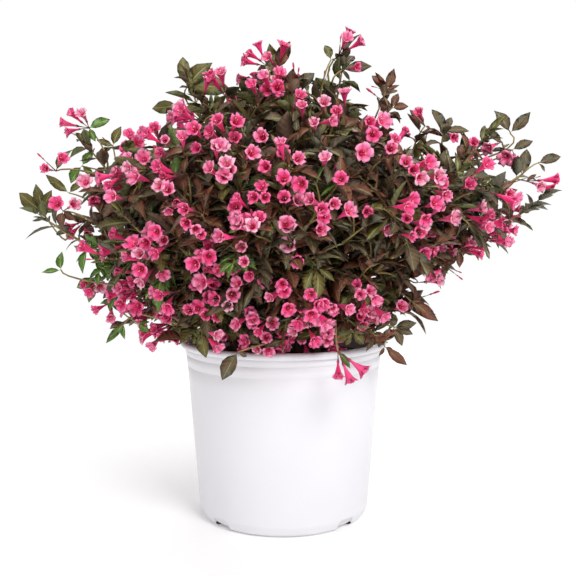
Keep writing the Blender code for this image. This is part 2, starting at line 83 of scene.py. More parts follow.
@dataclass(frozen=True)
class View:
    """The photograph's camera, and the way between a pixel of its frame and the places seen there."""

    place: Triple = (0.006, -1.084, 0.3897)
    pitch: float = math.radians(85.58)
    lens: float = 49.86
    sensor: float = 36.0
    width: int = 576

    @property
    def axes(self) -> Array:
        """The camera's right, up and forward directions, as unit rows."""
        cos, sin = math.cos(self.pitch), math.sin(self.pitch)
        return np.array([(1.0, 0.0, 0.0), (0.0, cos, sin), (0.0, sin, -cos)])

    def seen_at(self, pixel: Pixel, depths: Array) -> Array:
        """Places that show at a pixel: the ray through it, carried to each depth along Y.

        Args:
            pixel: Across and down in the photograph.
            depths: Y of each place, in metres.

        Returns:
            One place for each depth.
        """
        step = self.sensor / self.lens / self.width
        across, down = (pixel[0] - self.width / 2) * step, (pixel[1] - self.width / 2) * step
        ray = np.array((across, -down, 1.0)) @ self.axes
        carried = (depths - self.place[1]) / ray[1]
        return np.array(self.place) + ray * carried[:, None]

    def place_at(self, pixel: Pixel, depth: float) -> Array:
        """The one place that shows at a pixel and a depth along Y."""
        return self.seen_at(pixel, np.array([depth]))[0]

    def pixels(self, places: Array) -> Array:
        """The pixels that places show at: their right and down parts over their forward part, scaled.

        Args:
            places: (places, 3).

        Returns:
            Across and down, one row for each place.
        """
        local = (places - np.array(self.place)) @ self.axes.T
        scale = self.width * self.lens / self.sensor
        return self.width / 2 + local[:, :2] * (1.0, -1.0) / local[:, 2:] * scale


@dataclass
class Surface:
    """Points, and polygons over them grouped by their number of corners.

    Attributes:
        points: One row for each point, in metres.
        polygons: Arrays of point numbers, one row for each polygon.
        slots: The material slot of each polygon, one array for each group.
        marks: Each point's place on the UV map.
    """

    points: Array
    polygons: list[Indices]
    slots: list[Indices]
    marks: Array

    def placed(self, points: Array) -> "Surface":
        """The same polygons repeated for many copies.

        Args:
            points: Places of the copies' points, as (copies, points, 3).

        Returns:
            All copies as one surface.
        """
        copies, count = points.shape[:2]
        steps = (np.arange(copies) * count)[:, None, None]
        return Surface(
            points.reshape(-1, 3),
            [(group[None] + steps).reshape(-1, group.shape[1]) for group in self.polygons],
            [np.tile(slots, copies) for slots in self.slots],
            np.tile(self.marks, (copies, 1)),
        )


def joined(surfaces: list[Surface]) -> Surface:
    """Several surfaces as one, their points numbered on.

    Args:
        surfaces: Surfaces whose slots mean the same.

    Returns:
        One surface.
    """
    starts = np.cumsum([0] + [len(surface.points) for surface in surfaces[:-1]])
    polygons = []
    slots = []
    for start, surface in zip(starts, surfaces):
        polygons += [group + start for group in surface.polygons]
        slots += surface.slots
    points = np.concatenate([surface.points for surface in surfaces])
    marks = np.concatenate([surface.marks for surface in surfaces])
    return Surface(points, polygons, slots, marks)


def grid_quads(rows: int, columns: int, wrap: bool) -> Indices:
    """Four-cornered polygons over a grid of points that are numbered row by row.

    Args:
        rows: Rows of points.
        columns: Points in a row.
        wrap: Whether a row's last point joins its first.

    Returns:
        Numbers of the corners, one row for each polygon.
    """
    down = np.arange(rows - 1)[:, None] * columns
    near = np.arange(columns if wrap else columns - 1)[None]
    far = (near + 1) % columns
    corners = (down + near, down + far, down + columns + far, down + columns + near)
    return np.stack([corner.reshape(-1) for corner in corners], -1)


def tubes(paths: Array, radii: Array, sides: int, slot: int = 0) -> Surface:
    """Round tapering limbs, one along each path, closed at both ends.

    A ring stands square to the path at each of its points: its spokes are one direction square to
    the path, turned round it in equal steps, times the radius there.

    Args:
        paths: (limbs, points, 3).
        radii: (limbs, points).
        sides: Spokes of a ring.
        slot: Material slot of every polygon.

    Returns:
        All limbs as one surface. Its marks run round the limb and along it in metres.
    """
    limbs, rows = radii.shape
    along = unit(np.gradient(paths, axis=1))
    chord = unit(paths[:, -1] - paths[:, 0])
    across = squared_off(np.repeat(any_across(chord)[:, None], rows, 1), along)
    other = np.cross(along, across)
    turns = np.arange(sides) * math.tau / sides
    spokes = across[:, :, None] * np.cos(turns)[:, None] + other[:, :, None] * np.sin(turns)[:, None]
    rings = paths[:, :, None] + spokes * radii[:, :, None, None]
    ring = np.arange(sides)
    template = Surface(
        np.zeros((rows * sides, 3)),
        [grid_quads(rows, sides, True), np.stack([ring[::-1], ring + (rows - 1) * sides])],
        [np.full((rows - 1) * sides, slot), np.full(2, slot)],
        np.zeros((rows * sides, 2)),
    )
    surface = template.placed(rings.reshape(limbs, rows * sides, 3))
    steps = np.linalg.norm(np.diff(paths, axis=1), axis=-1)
    travelled = np.concatenate([np.zeros((limbs, 1)), np.cumsum(steps, 1)], 1)
    round_marks = np.broadcast_to(ring / sides, (limbs, rows, sides))
    along_marks = np.broadcast_to(travelled[:, :, None], (limbs, rows, sides))
    surface.marks = np.stack([round_marks, along_marks], -1).reshape(-1, 2)
    return surface


def curve_points(start: Array, bend: Array, end: Array, shares: Array) -> Array:
    """Points of curves at shares t of the way: start (1-t)^2 + bend 2t(1-t) + end t^2."""
    t = shares[:, :, None]
    return start[:, None] * (1 - t) ** 2 + bend[:, None] * (2 * t * (1 - t)) + end[:, None] * t**2


def curve_ways(start: Array, bend: Array, end: Array, shares: Array) -> Array:
    """Unit directions of the same curves at the same shares."""
    t = shares[:, :, None]
    return unit((bend - start)[:, None] * (1 - t) + (end - bend)[:, None] * t)


def put(name: str, surface: Surface, materials: list[Material], nodes: list[str]) -> None:
    """Makes a surface a piece of the object, and says what it stands for.

    Args:
        name: The piece's name.
        surface: Its shape, in place.
        materials: Materials in the order of its slots.
        nodes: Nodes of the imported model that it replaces.
    """
    mesh = bpy.data.meshes.new(name)
    corners = [polygon for group in surface.polygons for polygon in group.tolist()]
    mesh.from_pydata(surface.points.tolist(), [], corners)
    mesh.polygons.foreach_set("material_index", np.concatenate(surface.slots).astype(np.int32))
    mesh.polygons.foreach_set("use_smooth", np.ones(len(corners), dtype=bool))
    numbers = np.empty(len(mesh.loops), dtype=np.int32)
    mesh.loops.foreach_get("vertex_index", numbers)
    layer = mesh.uv_layers.new(name="UVMap")
    layer.data.foreach_set("uv", surface.marks[numbers].astype(np.float32).reshape(-1))
    for material in materials:
        mesh.materials.append(material)
    mesh.update()
    thing = bpy.data.objects.new(name, mesh)
    bpy.context.scene.collection.objects.link(thing)
    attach(thing, BODY)
    if nodes:
        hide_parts(*nodes)
    triangles = sum(len(group) * (group.shape[1] - 2) for group in surface.polygons)
    LOG.info("%s: %d triangles, replaces %d nodes", name, triangles, len(nodes))


class Finish:
    """One material while its nodes are put together on Blender's principled shader."""

    def __init__(self, name: str, colour: Colour, roughness: float) -> None:
        """Starts from a plain colour and roughness.

        Args:
            name: The material's name.
            colour: Base colour.
            roughness: From 0 to 1.
        """
        self.material = bpy.data.materials.new(name)
        self.material.use_nodes = True
        self.tree = self.material.node_tree
        self.shader = self.tree.nodes["Principled BSDF"]
        self.shader.inputs["Base Color"].default_value = (*colour, 1.0)
        self.shader.inputs["Roughness"].default_value = roughness

    def add(self, kind: str, **inputs: float) -> bpy.types.Node:
        """A new node with some of its inputs set.

        Args:
            kind: Blender's name of the node's type.
            inputs: Values by the input's name, with underscores for its spaces.

        Returns:
            The new node.
        """
        node = self.tree.nodes.new(kind)
        for key, value in inputs.items():
            node.inputs[key.replace("_", " ")].default_value = value
        return node

    def link(self, out: Socket, into: Socket) -> None:
        """Joins an output to an input."""
        self.tree.links.new(out, into)

    def noise(self, scale: float, detail: float = 3.0) -> Socket:
        """Noise over the object's own metres.

        Args:
            scale: Lumps to a metre.
            detail: Octaves.

        Returns:
            A value from 0 to 1.
        """
        place = self.add("ShaderNodeTexCoord")
        cloud = self.add("ShaderNodeTexNoise", Scale=scale, Detail=detail)
        self.link(place.outputs["Object"], cloud.inputs["Vector"])
        return cloud.outputs["Fac"]

    def marks(self) -> bpy.types.Node:
        """Reads the UV map.

        Returns:
            A node whose X and Y outputs are the place on the map.
        """
        place = self.add("ShaderNodeTexCoord")
        parts = self.add("ShaderNodeSeparateXYZ")
        self.link(place.outputs["UV"], parts.inputs["Vector"])
        return parts

    def ranged(self, value: Socket, span: Span, low: float = 0.0, high: float = 1.0) -> Socket:
        """A value carried from one span to another and held within it.

        Args:
            value: The value.
            span: The span that it comes in.
            low: Low end of the new span.
            high: High end of the new span.

        Returns:
            The new value.
        """
        carry = self.add("ShaderNodeMapRange", To_Min=low, To_Max=high)
        carry.inputs["From Min"].default_value, carry.inputs["From Max"].default_value = span
        self.link(value, carry.inputs["Value"])
        return carry.outputs["Result"]

    def maths(self, operation: str, first: Socket, second: float | Socket = 0.0) -> Socket:
        """One sum on a value.

        Args:
            operation: Blender's name of the sum.
            first: The value.
            second: A number or another value.

        Returns:
            The result.
        """
        node = self.tree.nodes.new("ShaderNodeMath")
        node.operation = operation
        self.link(first, node.inputs[0])
        if isinstance(second, Socket):
            self.link(second, node.inputs[1])
        else:
            node.inputs[1].default_value = second
        return node.outputs["Value"]

    def waves(self, value: Socket, count: float) -> Socket:
        """The sine of a value times a count of turns, carried to the span from 0 to 1."""
        wave = self.maths("SINE", self.maths("MULTIPLY", value, math.tau * count))
        return self.ranged(wave, (-1.0, 1.0))

    def uneven_gloss(self, scale: float, detail: float, low: float, high: float) -> None:
        """Roughness that goes between two values with noise."""
        rough = self.ranged(self.noise(scale, detail), (0.3, 0.7), low, high)
        self.link(rough, self.shader.inputs["Roughness"])

    def tint(self, factor: Socket, low: Colour, high: Colour) -> None:
        """A base colour that goes between two with a factor.

        Args:
            factor: A value from 0 to 1.
            low: Colour at 0.
            high: Colour at 1.
        """
        mix = self.tree.nodes.new("ShaderNodeMix")
        mix.data_type = "RGBA"
        mix.inputs["A"].default_value = (*low, 1.0)
        mix.inputs["B"].default_value = (*high, 1.0)
        self.link(factor, mix.inputs["Factor"])
        self.link(mix.outputs["Result"], self.shader.inputs["Base Color"])

    def relief(self, height: Socket, depth: float, strength: float = 1.0) -> None:
        """Relief over any that is there already.

        Args:
            height: A value from 0 to 1.
            depth: What 1 stands for, in metres.
            strength: How much of it shows.
        """
        bump = self.add("ShaderNodeBump", Strength=strength, Distance=depth)
        self.link(height, bump.inputs["Height"])
        before = self.shader.inputs["Normal"].links
        if before:
            self.link(before[0].from_socket, bump.inputs["Normal"])
        self.link(bump.outputs["Normal"], self.shader.inputs["Normal"])


def shaded(colour: Colour, share: float) -> Colour:
    """A colour made darker or lighter by a share."""
    return tuple(min(1.0, part * share) for part in colour)


@dataclass(frozen=True)
class PlasticFinish:
    """Satin white moulded plastic: fine orange peel, faint flow bands and a little dust in patches."""

    colour: Colour = (0.735, 0.725, 0.76)
    dust: Colour = (0.66, 0.65, 0.66)
    roughness: float = 0.36

    def make(self) -> Material:
        """Puts the plastic together.

        Returns:
            The pot's material.
        """
        finish = Finish("moulded_plastic", self.colour, self.roughness)
        finish.tint(finish.ranged(finish.noise(9.0, 5.0), (0.45, 0.85), 0.0, 0.35), self.colour, self.dust)
        finish.relief(finish.noise(900.0, 2.0), 0.00005, 0.5)
        finish.relief(finish.noise(22.0, 2.0), 0.0006, 0.25)
        finish.uneven_gloss(60.0, 4.0, self.roughness - 0.06, self.roughness + 0.08)
        finish.shader.inputs["Coat Weight"].default_value = 0.15
        finish.shader.inputs["Coat Roughness"].default_value = 0.3
        return finish.material


@dataclass(frozen=True)
class CompostFinish:
    """Dark wet compost, or the lighter bark chips on it. Also the near-black painted shade inside the pot's
    notches.
    """

    name: str
    colour: Colour
    light: Colour

    def make(self) -> Material:
        """Puts the compost or the chips together.

        Returns:
            The material.
        """
        finish = Finish(self.name, self.colour, 0.93)
        finish.tint(finish.ranged(finish.noise(150.0, 6.0), (0.35, 0.7)), self.colour, self.light)
        finish.relief(finish.noise(420.0, 6.0), 0.0012, 0.8)
        return finish.material


@dataclass(frozen=True)
class BarkFinish:
    """Thin bark with fine furrows along the limb, from brown wood to yellow-green young stems."""

    name: str
    colour: Colour
    light: Colour
    furrows: float
    depth: float

    def make(self) -> Material:
        """Puts the bark together. Its furrows follow the UV map, which runs round the limb and along it.

        Returns:
            A limb's material.
        """
        finish = Finish(self.name, self.colour, 0.62)
        finish.tint(finish.ranged(finish.noise(70.0, 5.0), (0.35, 0.68)), self.colour, self.light)
        place = finish.add("ShaderNodeTexCoord")
        stretch = finish.tree.nodes.new("ShaderNodeMapping")
        stretch.inputs["Scale"].default_value = (self.furrows, self.furrows * 5.0, 1.0)
        cloud = finish.add("ShaderNodeTexNoise", Scale=1.0, Detail=4.0)
        finish.link(place.outputs["UV"], stretch.inputs["Vector"])
        finish.link(stretch.outputs["Vector"], cloud.inputs["Vector"])
        finish.relief(cloud.outputs["Fac"], self.depth, 0.7)
        return finish.material


@dataclass(frozen=True)
class LeafFinish:
    """The three materials of one tone of leaf: its blade, its pale rib and its underside."""

    tone: str
    blade: Colour
    rib: Colour
    under: Colour
    roughness: float = 0.45
    gloss: float = 0.25
    veins: float = 7.0
    vein_lean: float = 0.45

    def make(self) -> list[Material]:
        """Puts one tone's materials together.

        Returns:
            Blade, rib and underside, in the order of a leaf's slots.
        """
        blade = self.sheet(f"leaf_{self.tone}_blade", self.blade, self.roughness)
        rib = Finish(f"leaf_{self.tone}_rib", self.rib, self.roughness + 0.08)
        rib.relief(rib.noise(300.0), 0.0002, 0.3)
        under = self.sheet(f"leaf_{self.tone}_underside", self.under, self.roughness + 0.2)
        return [blade, rib.material, under]

    def sheet(self, name: str, colour: Colour, roughness: float) -> Material:
        """A blade's side. Side veins run forward from the rib: a wave of the place along the leaf
        less a share of the distance from its rib, read from the UV map.

        Args:
            name: The material's name.
            colour: The side's colour.
            roughness: The side's roughness.

        Returns:
            The material.
        """
        finish = Finish(name, colour, roughness)
        mottle = finish.ranged(finish.noise(34.0, 4.0), (0.3, 0.7))
        finish.tint(mottle, shaded(colour, 0.80), shaded(colour, 1.22))
        parts = finish.marks()
        off_rib = finish.maths("ABSOLUTE", finish.maths("SUBTRACT", parts.outputs["X"], 0.5))
        lean = finish.maths("MULTIPLY", off_rib, self.vein_lean)
        forward = finish.maths("SUBTRACT", parts.outputs["Y"], lean)
        finish.relief(finish.waves(forward, self.veins), 0.0005, 0.55)
        finish.uneven_gloss(120.0, 3.0, roughness - 0.07, roughness + 0.10)
        finish.shader.inputs["Specular IOR Level"].default_value = self.gloss
        return finish.material


class LeafTone(Enum):
    """Tones that leaves are dealt out in, a spray at a time."""

    BRONZE = LeafFinish("bronze", (0.168, 0.062, 0.036), (0.24, 0.20, 0.07), (0.135, 0.085, 0.055))
    UMBER = LeafFinish("umber", (0.208, 0.080, 0.044), (0.28, 0.20, 0.08), (0.190, 0.120, 0.080))
    SLATE = LeafFinish("slate", (0.130, 0.090, 0.048), (0.24, 0.25, 0.10), (0.130, 0.125, 0.085))
    OLIVE = LeafFinish("olive", (0.136, 0.112, 0.032), (0.32, 0.34, 0.10), (0.160, 0.170, 0.070))
    GREEN = LeafFinish("green", (0.095, 0.185, 0.030), (0.36, 0.50, 0.14), (0.170, 0.270, 0.090))


BRONZE, UMBER, SLATE, OLIVE, GREEN = LeafTone


@dataclass(frozen=True)
class PetalFinish:
    """A petal colour with fine veins along it and a soft velvet sheen."""

    name: str
    colour: Colour
    roughness: float = 0.52
    veins: float = 30.0

    def make(self) -> Material:
        """Puts the petal together. Its veins are waves round the flower, read from the UV map.

        Returns:
            The petal's material.
        """
        finish = Finish(self.name, self.colour, self.roughness)
        blotch = finish.ranged(finish.noise(160.0, 3.0), (0.3, 0.7))
        finish.tint(blotch, shaded(self.colour, 0.88), shaded(self.colour, 1.10))
        finish.relief(finish.waves(finish.marks().outputs["X"], self.veins), 0.0003, 0.35)
        finish.shader.inputs["Sheen Weight"].default_value = 0.12
        finish.shader.inputs["Sheen Roughness"].default_value = 0.5
        return finish.material


@dataclass(frozen=True)
class BloomFinish:
    """The materials of one age of flower, in the order of a flower's slots."""

    age: str
    tube: Colour
    throat: Colour
    deep: Colour
    petal: Colour
    rim: Colour

    def make(self) -> list[Material]:
        """Makes a flower's materials.

        Returns:
            Tube, throat, and the three zones of a lobe from the throat to its rim.
        """
        colours = (self.tube, self.throat, self.deep, self.petal, self.rim)
        zones = zip(("tube", "throat", "deep", "petal", "rim"), colours)
        return [PetalFinish(f"flower_{self.age}_{zone}", colour).make() for zone, colour in zones]


class BloomAge(Enum):
    """Ages of flower, from just open and deep pink to full blown and pale."""

    FRESH = BloomFinish(
        "fresh", (0.82, 0.014, 0.160), (0.50, 0.008, 0.075), (0.78, 0.016, 0.17),
        (0.90, 0.070, 0.26), (0.97, 0.15, 0.36),
    )
    OPEN = BloomFinish(
        "open", (0.86, 0.026, 0.200), (0.54, 0.012, 0.090), (0.84, 0.042, 0.23),
        (0.98, 0.180, 0.38), (1.00, 0.30, 0.49),
    )
    BLOWN = BloomFinish(
        "blown", (0.88, 0.070, 0.25), (0.58, 0.020, 0.110), (0.88, 0.085, 0.29),
        (1.00, 0.320, 0.49), (1.00, 0.47, 0.61),
    )


@dataclass
class Turned:
    """Surfaces turned round the Z axis."""

    def revolve(self, radii: Array, heights: Array, azimuths: Array) -> Surface:
        """Profile points carried round the axis: each is radius times (sin a, -cos a) at its height.

        Args:
            radii: (profile, azimuths), the first and last rows being small rings round the axis.
            heights: (profile, azimuths).
            azimuths: Angles in radians, 0 in front and growing to the right.

        Returns:
            A closed surface with its two end rings filled, facing outwards where the profile runs
            from the inside of the bottom, over the rim and down the outside.
        """
        rows, columns = radii.shape
        points = np.stack([radii * np.sin(azimuths), -radii * np.cos(azimuths), heights], -1)
        ring = np.arange(columns)
        ends = np.stack([ring, (ring + (rows - 1) * columns)[::-1]])
        steps = np.hypot(np.diff(radii, axis=0), np.diff(heights, axis=0))
        travelled = np.concatenate([np.zeros((1, columns)), np.cumsum(steps, 0)])
        marks = np.stack([np.broadcast_to(azimuths / math.tau, radii.shape), travelled], -1)
        return Surface(
            points.reshape(-1, 3),
            [grid_quads(rows, columns, True)[:, ::-1], ends],
            [np.zeros((rows - 1) * columns, dtype=int), np.zeros(2, dtype=int)],
            marks.reshape(-1, 2),
        )


@dataclass
class Pot(Turned):
    """The nursery pot: rolled lip, collar, faint band, tapered wall, and four drain notches in its foot."""

    lip_radius: float = 0.1400
    height: float = 0.2372
    foot_radius: float = 0.1145
    wall_slope: float = 0.0784
    wall: float = 0.0026
    floor: float = 0.0032
    lip_depth: float = 0.0090
    collar_height: float = 0.0091
    collar_proud: float = 0.0016
    band_height: float = 0.0147
    band_proud: float = 0.0007
    groove: float = 0.0008
    soft: float = 0.0008
    mouth_start: float = 0.0060
    mouth_ease: float = 0.0008
    mouth_width: float = 0.0024
    wall_rows: int = 6
    wall_ends: Span = (0.0200, 0.0160)
    foot_round: float = 0.0100
    notch_width: float = 0.030
    notch_height: float = 0.0115
    notch_reach: float = 0.0160
    notch_shoulder: float = 0.0040
    notch_first: float = math.radians(-45.0)
    notch_count: int = 4
    notch_lip_rows: int = 3
    notch_edge: float = 0.002
    roof_shares: Row = (0.0, 0.08, 0.30, 0.55, 0.80, 0.98)
    columns: int = 160
    axis_radius: float = 0.0005

    def wall_radius(self, height: float) -> float:
        """Outer radius of the tapered wall at a height."""
        return self.foot_radius + self.wall_slope * height

    def arc(self, middle: Span, radius: float, start: float, end: float, count: int) -> Profile:
        """Points of a round: its middle plus the radius times the cosine and sine of angles in degrees."""
        turns = np.radians(np.linspace(start, end, count))
        return [(middle[0] + radius * math.cos(turn), middle[1] + radius * math.sin(turn)) for turn in turns]

    def upper_profile(self) -> Profile:
        """The pot's section above its foot.

        Returns:
            (radius, height) from the middle of the inside floor, up the inside, over the lip and
            down the wall.
        """
        collar_top = self.height - self.lip_depth
        collar_foot = collar_top - self.collar_height
        band_foot = collar_foot - self.band_height
        round_half = self.lip_depth / 2
        soft = self.soft
        inner = self.foot_round / 2
        outer = self.wall_radius
        wall_heights = np.linspace(band_foot - self.wall_ends[0], self.wall_ends[1], self.wall_rows)
        return [
            (self.axis_radius, self.floor),
            (outer(self.floor) - self.wall - inner, self.floor),
            (outer(self.floor + inner) - self.wall, self.floor + inner),
            (outer(self.height / 2) - self.wall, self.height / 2),
            (outer(self.height - self.mouth_start) - self.wall, self.height - self.mouth_start),
            (outer(self.height) - self.wall + self.mouth_ease, self.height - self.mouth_ease),
            (outer(self.height) - self.wall + self.mouth_width, self.height),
            *self.arc((self.lip_radius - round_half, self.height - round_half), round_half, 90, -80, 9),
            (outer(collar_top) + self.collar_proud - self.groove, collar_top),
            (outer(collar_top) + self.collar_proud, collar_top - soft),
            (outer(collar_foot) + self.collar_proud, collar_foot + soft),
            (outer(collar_foot) + self.band_proud - self.groove, collar_foot),
            (outer(collar_foot) + self.band_proud, collar_foot - soft),
            (outer(band_foot) + self.band_proud, band_foot + soft),
            (outer(band_foot) - self.groove / 2, band_foot),
            (outer(band_foot), band_foot - soft),
            *[(outer(height), height) for height in wall_heights],
        ]

    def foot_profiles(self) -> tuple[Profile, Profile]:
        """The foot's section from the wall to the middle of the underside.

        Returns:
            The section as it is whole and as it is cut at a notch, point for point.
        """
        low = self.foot_round
        rounded = self.arc((self.foot_radius - low, low), low, 0, -90, 5)
        under = self.foot_radius - self.notch_reach
        whole = [(self.wall_radius(self.notch_height), self.notch_height), *rounded, (under, 0.0)]
        roof = [
            (self.wall_radius(self.notch_height) - self.notch_reach * share, self.notch_height)
            for share in self.roof_shares
        ]
        return [*whole, (self.axis_radius, 0.0)], [*roof, (under, 0.0), (self.axis_radius, 0.0)]

    def azimuths(self) -> Array:
        """Even steps round the pot, with closer ones at each notch's sloping sides.

        Returns:
            Angles in radians, in order.
        """
        even = np.arange(self.columns) * math.tau / self.columns
        half = self.notch_width / 2 / self.foot_radius
        lean = self.notch_shoulder / self.foot_radius
        edge = self.notch_edge
        sides = np.array([-half - edge, -half + edge, -half + lean, half - lean, half - edge, half + edge])
        centres = self.notch_first + np.arange(self.notch_count) * math.tau / self.notch_count
        extra = (centres[:, None] + sides).reshape(-1) % math.tau
        return np.unique(np.concatenate([even, extra]))

    def notch_share(self, azimuths: Array, heights: Array) -> Array:
        """Where the notches are: a notch's half width shrinks by the shoulder from the foot to its roof.

        Args:
            azimuths: Angles round the pot.
            heights: Heights of the section's points.

        Returns:
            (heights, azimuths), 1 inside a notch and 0 outside.
        """
        step = math.tau / self.notch_count
        off = np.abs((azimuths - self.notch_first + step / 2) % step - step / 2) * self.foot_radius
        half = self.notch_width / 2 - self.notch_shoulder * np.clip(heights / self.notch_height, 0.0, 1.0)
        return (off[None] < half[:, None]).astype(float)

    def build(self) -> None:
        """Turns the pot and puts it in the place of its node. The inner faces of its notches are painted
        near-black as shade.
        """
        upper = np.array(self.upper_profile())
        whole, cut = (np.array(profile) for profile in self.foot_profiles())
        azimuths = self.azimuths()
        share = self.notch_share(azimuths, whole[:, 1])[:, :, None]
        foot = whole[:, None] * (1.0 - share) + cut[:, None] * share
        profile = np.concatenate([np.repeat(upper[:, None], len(azimuths), 1), foot])
        surface = self.revolve(profile[:, :, 0], profile[:, :, 1], azimuths)
        # The inner faces of each notch, below its lip rows, get a near-black compost colour: painted shade in
        # a recess of solid plastic.
        slots = np.zeros((len(profile) - 1, len(azimuths)), dtype=int)
        recessed = np.maximum(share[1:, :, 0], np.roll(share[1:, :, 0], -1, axis=1))
        slots[len(upper) + self.notch_lip_rows :] = recessed[self.notch_lip_rows :] > 0.5
        surface.slots[0] = slots.reshape(-1)
        compost_and_painted_shade = CompostFinish("notch_painted_shade", (0.016, 0.011, 0.008), (0.045, 0.030, 0.022)).make()
        put("pot_moulding", surface, [PlasticFinish().make(), compost_and_painted_shade], ["pot"])


@dataclass
class Compost(Turned):
    """The root ball and compost in the pot, its top heaped and pitted, with bark chips lying on it."""

    pot: Pot
    drop: float = 0.0240
    gap: float = 0.0006
    lumps: float = 0.0035
    rows: int = 34
    columns: int = 120
    chips: int = 420
    chip_length: float = 0.014
    chip_shape: Triple = (1.0, 0.5, 0.16)
    chip_sizes: Span = (0.35, 1.0)
    chip_uneven: Span = (0.7, 1.3)
    chip_bevel: float = 0.7
    chip_sunk: float = 0.001
    edge_drop: float = 0.002
    calm_width: float = 0.01
    waves: int = 7
    wave_pitch: float = 90.0
    wave_growth: float = 1.45
    seed: int = 7

    @property
    def top(self) -> float:
        """Height of the compost's flat level."""
        return self.pot.height - self.drop

    def relief(self, x: Array, y: Array) -> Array:
        """Lumps as a sum of waves of shortening length, each turned and shifted by the seeded draw.

        Args:
            x: Places across.
            y: Places along.

        Returns:
            Heights over the level top, in metres.
        """
        rng = np.random.default_rng(self.seed)
        height = np.zeros_like(x)
        for octave in range(self.waves):
            turn = rng.uniform(0.0, math.tau)
            shift = rng.uniform(0.0, math.tau, 2)
            pitch = self.wave_pitch * self.wave_growth**octave
            along = x * math.cos(turn) + y * math.sin(turn)
            across = y * math.cos(turn) - x * math.sin(turn)
            lumps = np.sin(along * pitch + shift[0]) * np.sin(across * pitch * 0.9 + shift[1])
            height += lumps / (1.0 + octave)
        return height * self.lumps / 2.0

    def build(self) -> None:
        """Turns the compost and scatters its chips, in the place of its node."""
        inside = self.pot.wall_radius(self.top) - self.pot.wall - self.gap
        radii = np.linspace(self.pot.axis_radius, inside, self.rows)
        low = self.pot.floor + self.gap
        foot = self.pot.wall_radius(low + self.pot.foot_round / 2) - self.pot.wall - self.gap
        azimuths = np.arange(self.columns) * math.tau / self.columns
        spread = np.repeat(radii[:, None], self.columns, 1)
        calm = np.clip((inside - spread) / self.calm_width, 0.0, 1.0)
        lumps = self.relief(spread * np.sin(azimuths), -spread * np.cos(azimuths))
        heaped = self.top - self.edge_drop + calm * lumps
        under = np.array([(foot, low + self.pot.foot_round / 2), (foot - self.pot.foot_round / 2, low)])
        under = np.vstack([under, [self.pot.axis_radius, low]])
        under = np.repeat(under[:, None], self.columns, 1)
        profile = np.concatenate([np.stack([spread, heaped], -1), under])
        base = self.revolve(profile[:, :, 0], profile[:, :, 1], azimuths)
        chips = self.chip_surface(inside)
        compost_and_painted_shade = CompostFinish("compost", (0.016, 0.010, 0.007), (0.050, 0.032, 0.022)).make()
        bark = CompostFinish("bark_chips", (0.060, 0.034, 0.020), (0.130, 0.080, 0.050)).make()
        put("compost", joined([base, chips]), [compost_and_painted_shade, bark], ["soil"])

    def chip_surface(self, inside: float) -> Surface:
        """Bark chips: bevelled slabs of 8 corners, each turned by the seeded draw and half sunk.

        Args:
            inside: Radius that they keep to.

        Returns:
            All chips as one surface.
        """
        rng = np.random.default_rng(self.seed + 1)
        corners = np.array([(x, y, z) for z in (-1, 1) for y in (-1, 1) for x in (-1, 1)], dtype=float)
        corners[corners[:, 2] > 0, :2] *= self.chip_bevel
        ends = ((0, 2, 3, 1), (4, 5, 7, 6))
        sides = np.array([*ends, (0, 1, 5, 4), (2, 6, 7, 3), (0, 4, 6, 2), (1, 3, 7, 5)])
        template = Surface(corners, [sides], [np.ones(6, dtype=int)], np.zeros((8, 2)))
        radius = (inside - self.chip_length) * np.sqrt(rng.uniform(0.0, 1.0, self.chips))
        azimuth = rng.uniform(0.0, math.tau, self.chips)
        x, y = radius * np.sin(azimuth), radius * np.cos(azimuth)
        centre = np.stack([x, y, self.top - self.chip_sunk + self.relief(x, y)], -1)
        along = unit(rng.normal(size=(self.chips, 3)) * (1.0, 1.0, 0.35))
        upward = np.array((0.0, 0.0, 1.0)) + rng.normal(0.0, 0.2, (self.chips, 3))
        normal = squared_off(upward, along)
        size = rng.uniform(*self.chip_sizes, (self.chips, 1, 1)) * self.chip_length / 2
        slab = corners[None] * rng.uniform(*self.chip_uneven, (self.chips, 8, 3)) * self.chip_shape * size
        axes = np.stack([along, np.cross(normal, along), normal], 1)
        return template.placed(centre[:, None] + slab @ axes)


@dataclass
class LeafShape:
    """One folded, pointed leaf with a raised rib, closed, for stamping.

    A leaf lies along +Y from its root at 0 to its tip at 1, its face to +Z. Its half width follows a
    sine of the place along it, drawn out to a narrow tip.
    """

    stations: Row = (0.0, 0.09, 0.26, 0.46, 0.67, 0.86)
    half_width: float = 0.222
    stalk_half: float = 0.016
    rib_half: float = 0.014
    thickness: float = 0.010

    def template(self) -> Surface:
        """Five points across at each station and one at the tip.

        Returns:
            The leaf, its points in five columns: left edge, rib's left and right, right edge, and keel.
        """
        y = np.array(self.stations)
        blade = np.clip((y - self.stations[1]) / (1.0 - self.stations[1]), 0.0, 1.0)
        swell = np.sin(math.pi * blade**0.92) ** (0.66 + 0.5 * blade)
        half = self.stalk_half * (1.0 - y) + self.half_width * swell
        rib = np.minimum(self.rib_half * (1.0 - 0.75 * y), half * 0.6)
        thick = self.thickness * (1.0 - 0.6 * y)
        rows = np.stack(
            [
                np.stack([-half, y, 0 * y], -1),
                np.stack([-rib, y, thick], -1),
                np.stack([rib, y, thick], -1),
                np.stack([half, y, 0 * y], -1),
                np.stack([0 * y, y, -thick], -1),
            ],
            1,
        )
        points = np.concatenate([rows.reshape(-1, 3), [[0.0, 1.0, 0.0]]])
        quads = grid_quads(len(y), 5, True)
        tip = len(points) - 1
        last = tip - 5 + np.arange(5)
        fan = np.stack([last, np.roll(last, -1), np.full(5, tip)], -1)
        sides = np.array([0, 1, 0, 2, 2])
        marks = np.stack([0.5 + points[:, 0] / self.half_width / 2, points[:, 1]], -1)
        return Surface(
            points,
            [quads, fan, np.arange(5)[None, ::-1]],
            [np.tile(sides, len(y) - 1), sides, np.ones(1, dtype=int)],
            marks,
        )


